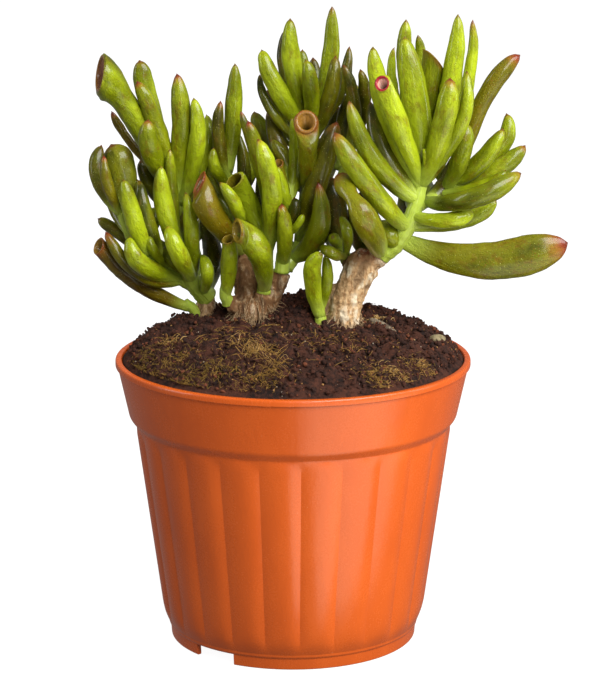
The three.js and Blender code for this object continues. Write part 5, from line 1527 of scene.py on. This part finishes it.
def paintChip(flow):
    grain = flow.mark("place", "Vector").stretched(1, 0.5, 1).noise(1.4, 5, 0.65)
    colour = layered(chipColours, "dark", [(grain.step(0.35, 0.62), "pale")])
    return colour, 0.75 + grain * 0.2, grain.bump(0.0006)


pebbleSkin = surface("pebbleSkin", {"Specular IOR Level": 0.35}, paintPebble)
chipSkin = surface("chipSkin", {"Specular IOR Level": 0.25}, paintChip)
growPebble()
growChip()
print("bark, roots and loose things made")

# Camera, floor and light
scene = bpy.context.scene
scene.view_settings.view_transform = "Standard"
lens = bpy.data.cameras.new("lens")
lens.lens = view["lens"]
lens.sensor_width = view["film"]
lens.clip_end = view["reach"]
camera = bpy.data.objects.new("camera", lens)
camera.location = eye * mm + potAxis
camera.rotation_euler = (math.pi / 2 - pitch, 0, 0)
scene.collection.objects.link(camera)
scene.camera = camera

light = {
    "world": 0.2,
    "lamps": {
        # turn and rise in degrees, from the front and from the floor; metres; watts
        "key": {"turn": 42, "rise": 38, "away": 1.5, "wide": 1.5, "tall": 1.0, "power": 50},
        "front": {"turn": 12, "rise": 12, "away": 1.5, "wide": 0.1, "tall": 1.0, "power": 2.2},
        "back": {"turn": 205, "rise": 40, "away": 1.6, "wide": 1.2, "tall": 0.8, "power": 16,
                 "shine": False},
        "side": {"turn": 88, "rise": 12, "away": 1.2, "wide": 0.15, "tall": 0.8, "power": 2.5},
        "left": {"turn": -80, "rise": 18, "away": 1.3, "wide": 0.25, "tall": 1.0, "power": 5},
    },
    "aimHeight": 0.13,  # metres over the floor that the lamps are turned to
    "floorGlow": 0.96, "floorShade": 0.12, "floorHalf": 6000,  # the last in mm
    # mm, level, in front of the pot
    "card": {"across": (5, 420), "back": (-460, -70), "height": 0.5, "glow": 1.8, "tint": (1, 0.96, 0.82)},
}
aim = potAxis + [0, 0, light["aimHeight"]]


def addLamp(name, turn, rise, away, wide, tall, power, shine=True):
    lamp = bpy.data.lights.new(name, "AREA")
    lamp.shape = "RECTANGLE"
    lamp.size = wide
    lamp.size_y = tall
    lamp.energy = power
    stand = bpy.data.objects.new(name, lamp)
    turn, rise = math.radians(turn), math.radians(rise)
    stand.location = aim + bearing(turn, rise) * away
    stand.rotation_euler = (math.pi / 2 - rise, 0, turn)
    stand.visible_glossy = shine
    scene.collection.objects.link(stand)


for name, lamp in light["lamps"].items():
    addLamp(name, **lamp)


world = bpy.data.worlds.new("studio")
scene.world = world
world.use_nodes = True
backdrop = world.node_tree.nodes["Background"]
backdrop.inputs["Color"].default_value = (1, 1, 1, 1)
backdrop.inputs["Strength"].default_value = light["world"]


def paintFloor(flow):
    fine = flow.mark("place", "Vector").noise(0.02, 3)
    grey = light["floorShade"]
    colour = fine.step(0.2, 0.8).blend((grey, grey, grey, 1), (grey * 1.02, grey * 1.02, grey * 1.02, 1))
    return colour, 0.9 + fine * 0.1


def layFlat(name, across, back, height, glow, tint=(1, 1, 1)):
    # a glowing flat surface, level with the floor
    steps = 24
    grid = np.array([[x, y, height] for y in np.linspace(*back, steps + 1)
                     for x in np.linspace(*across, steps + 1)])
    k = np.arange(steps)[:, None] * (steps + 1) + np.arange(steps)
    faces = np.stack([k, k + 1, k + steps + 2, k + steps + 1], axis=-1).reshape(-1, 4)
    flat = addMesh(name, grid * mm, [faces])
    addMark(flat.data, "place", grid)
    shine = {"Specular IOR Level": 0, "Emission Color": (*tint, 1), "Emission Strength": glow}
    flat.data.materials.append(surface(name + "Skin", shine, paintFloor))
    return flat


half = (-light["floorHalf"], light["floorHalf"])
floor = layFlat("floor", half, half, 0, light["floorGlow"])
floor.visible_glossy = False  # or its white hazes every dark shiny surface
floor.visible_diffuse = False  # and lights what should be in shade
layFlat("card", **light["card"])
print("lit")
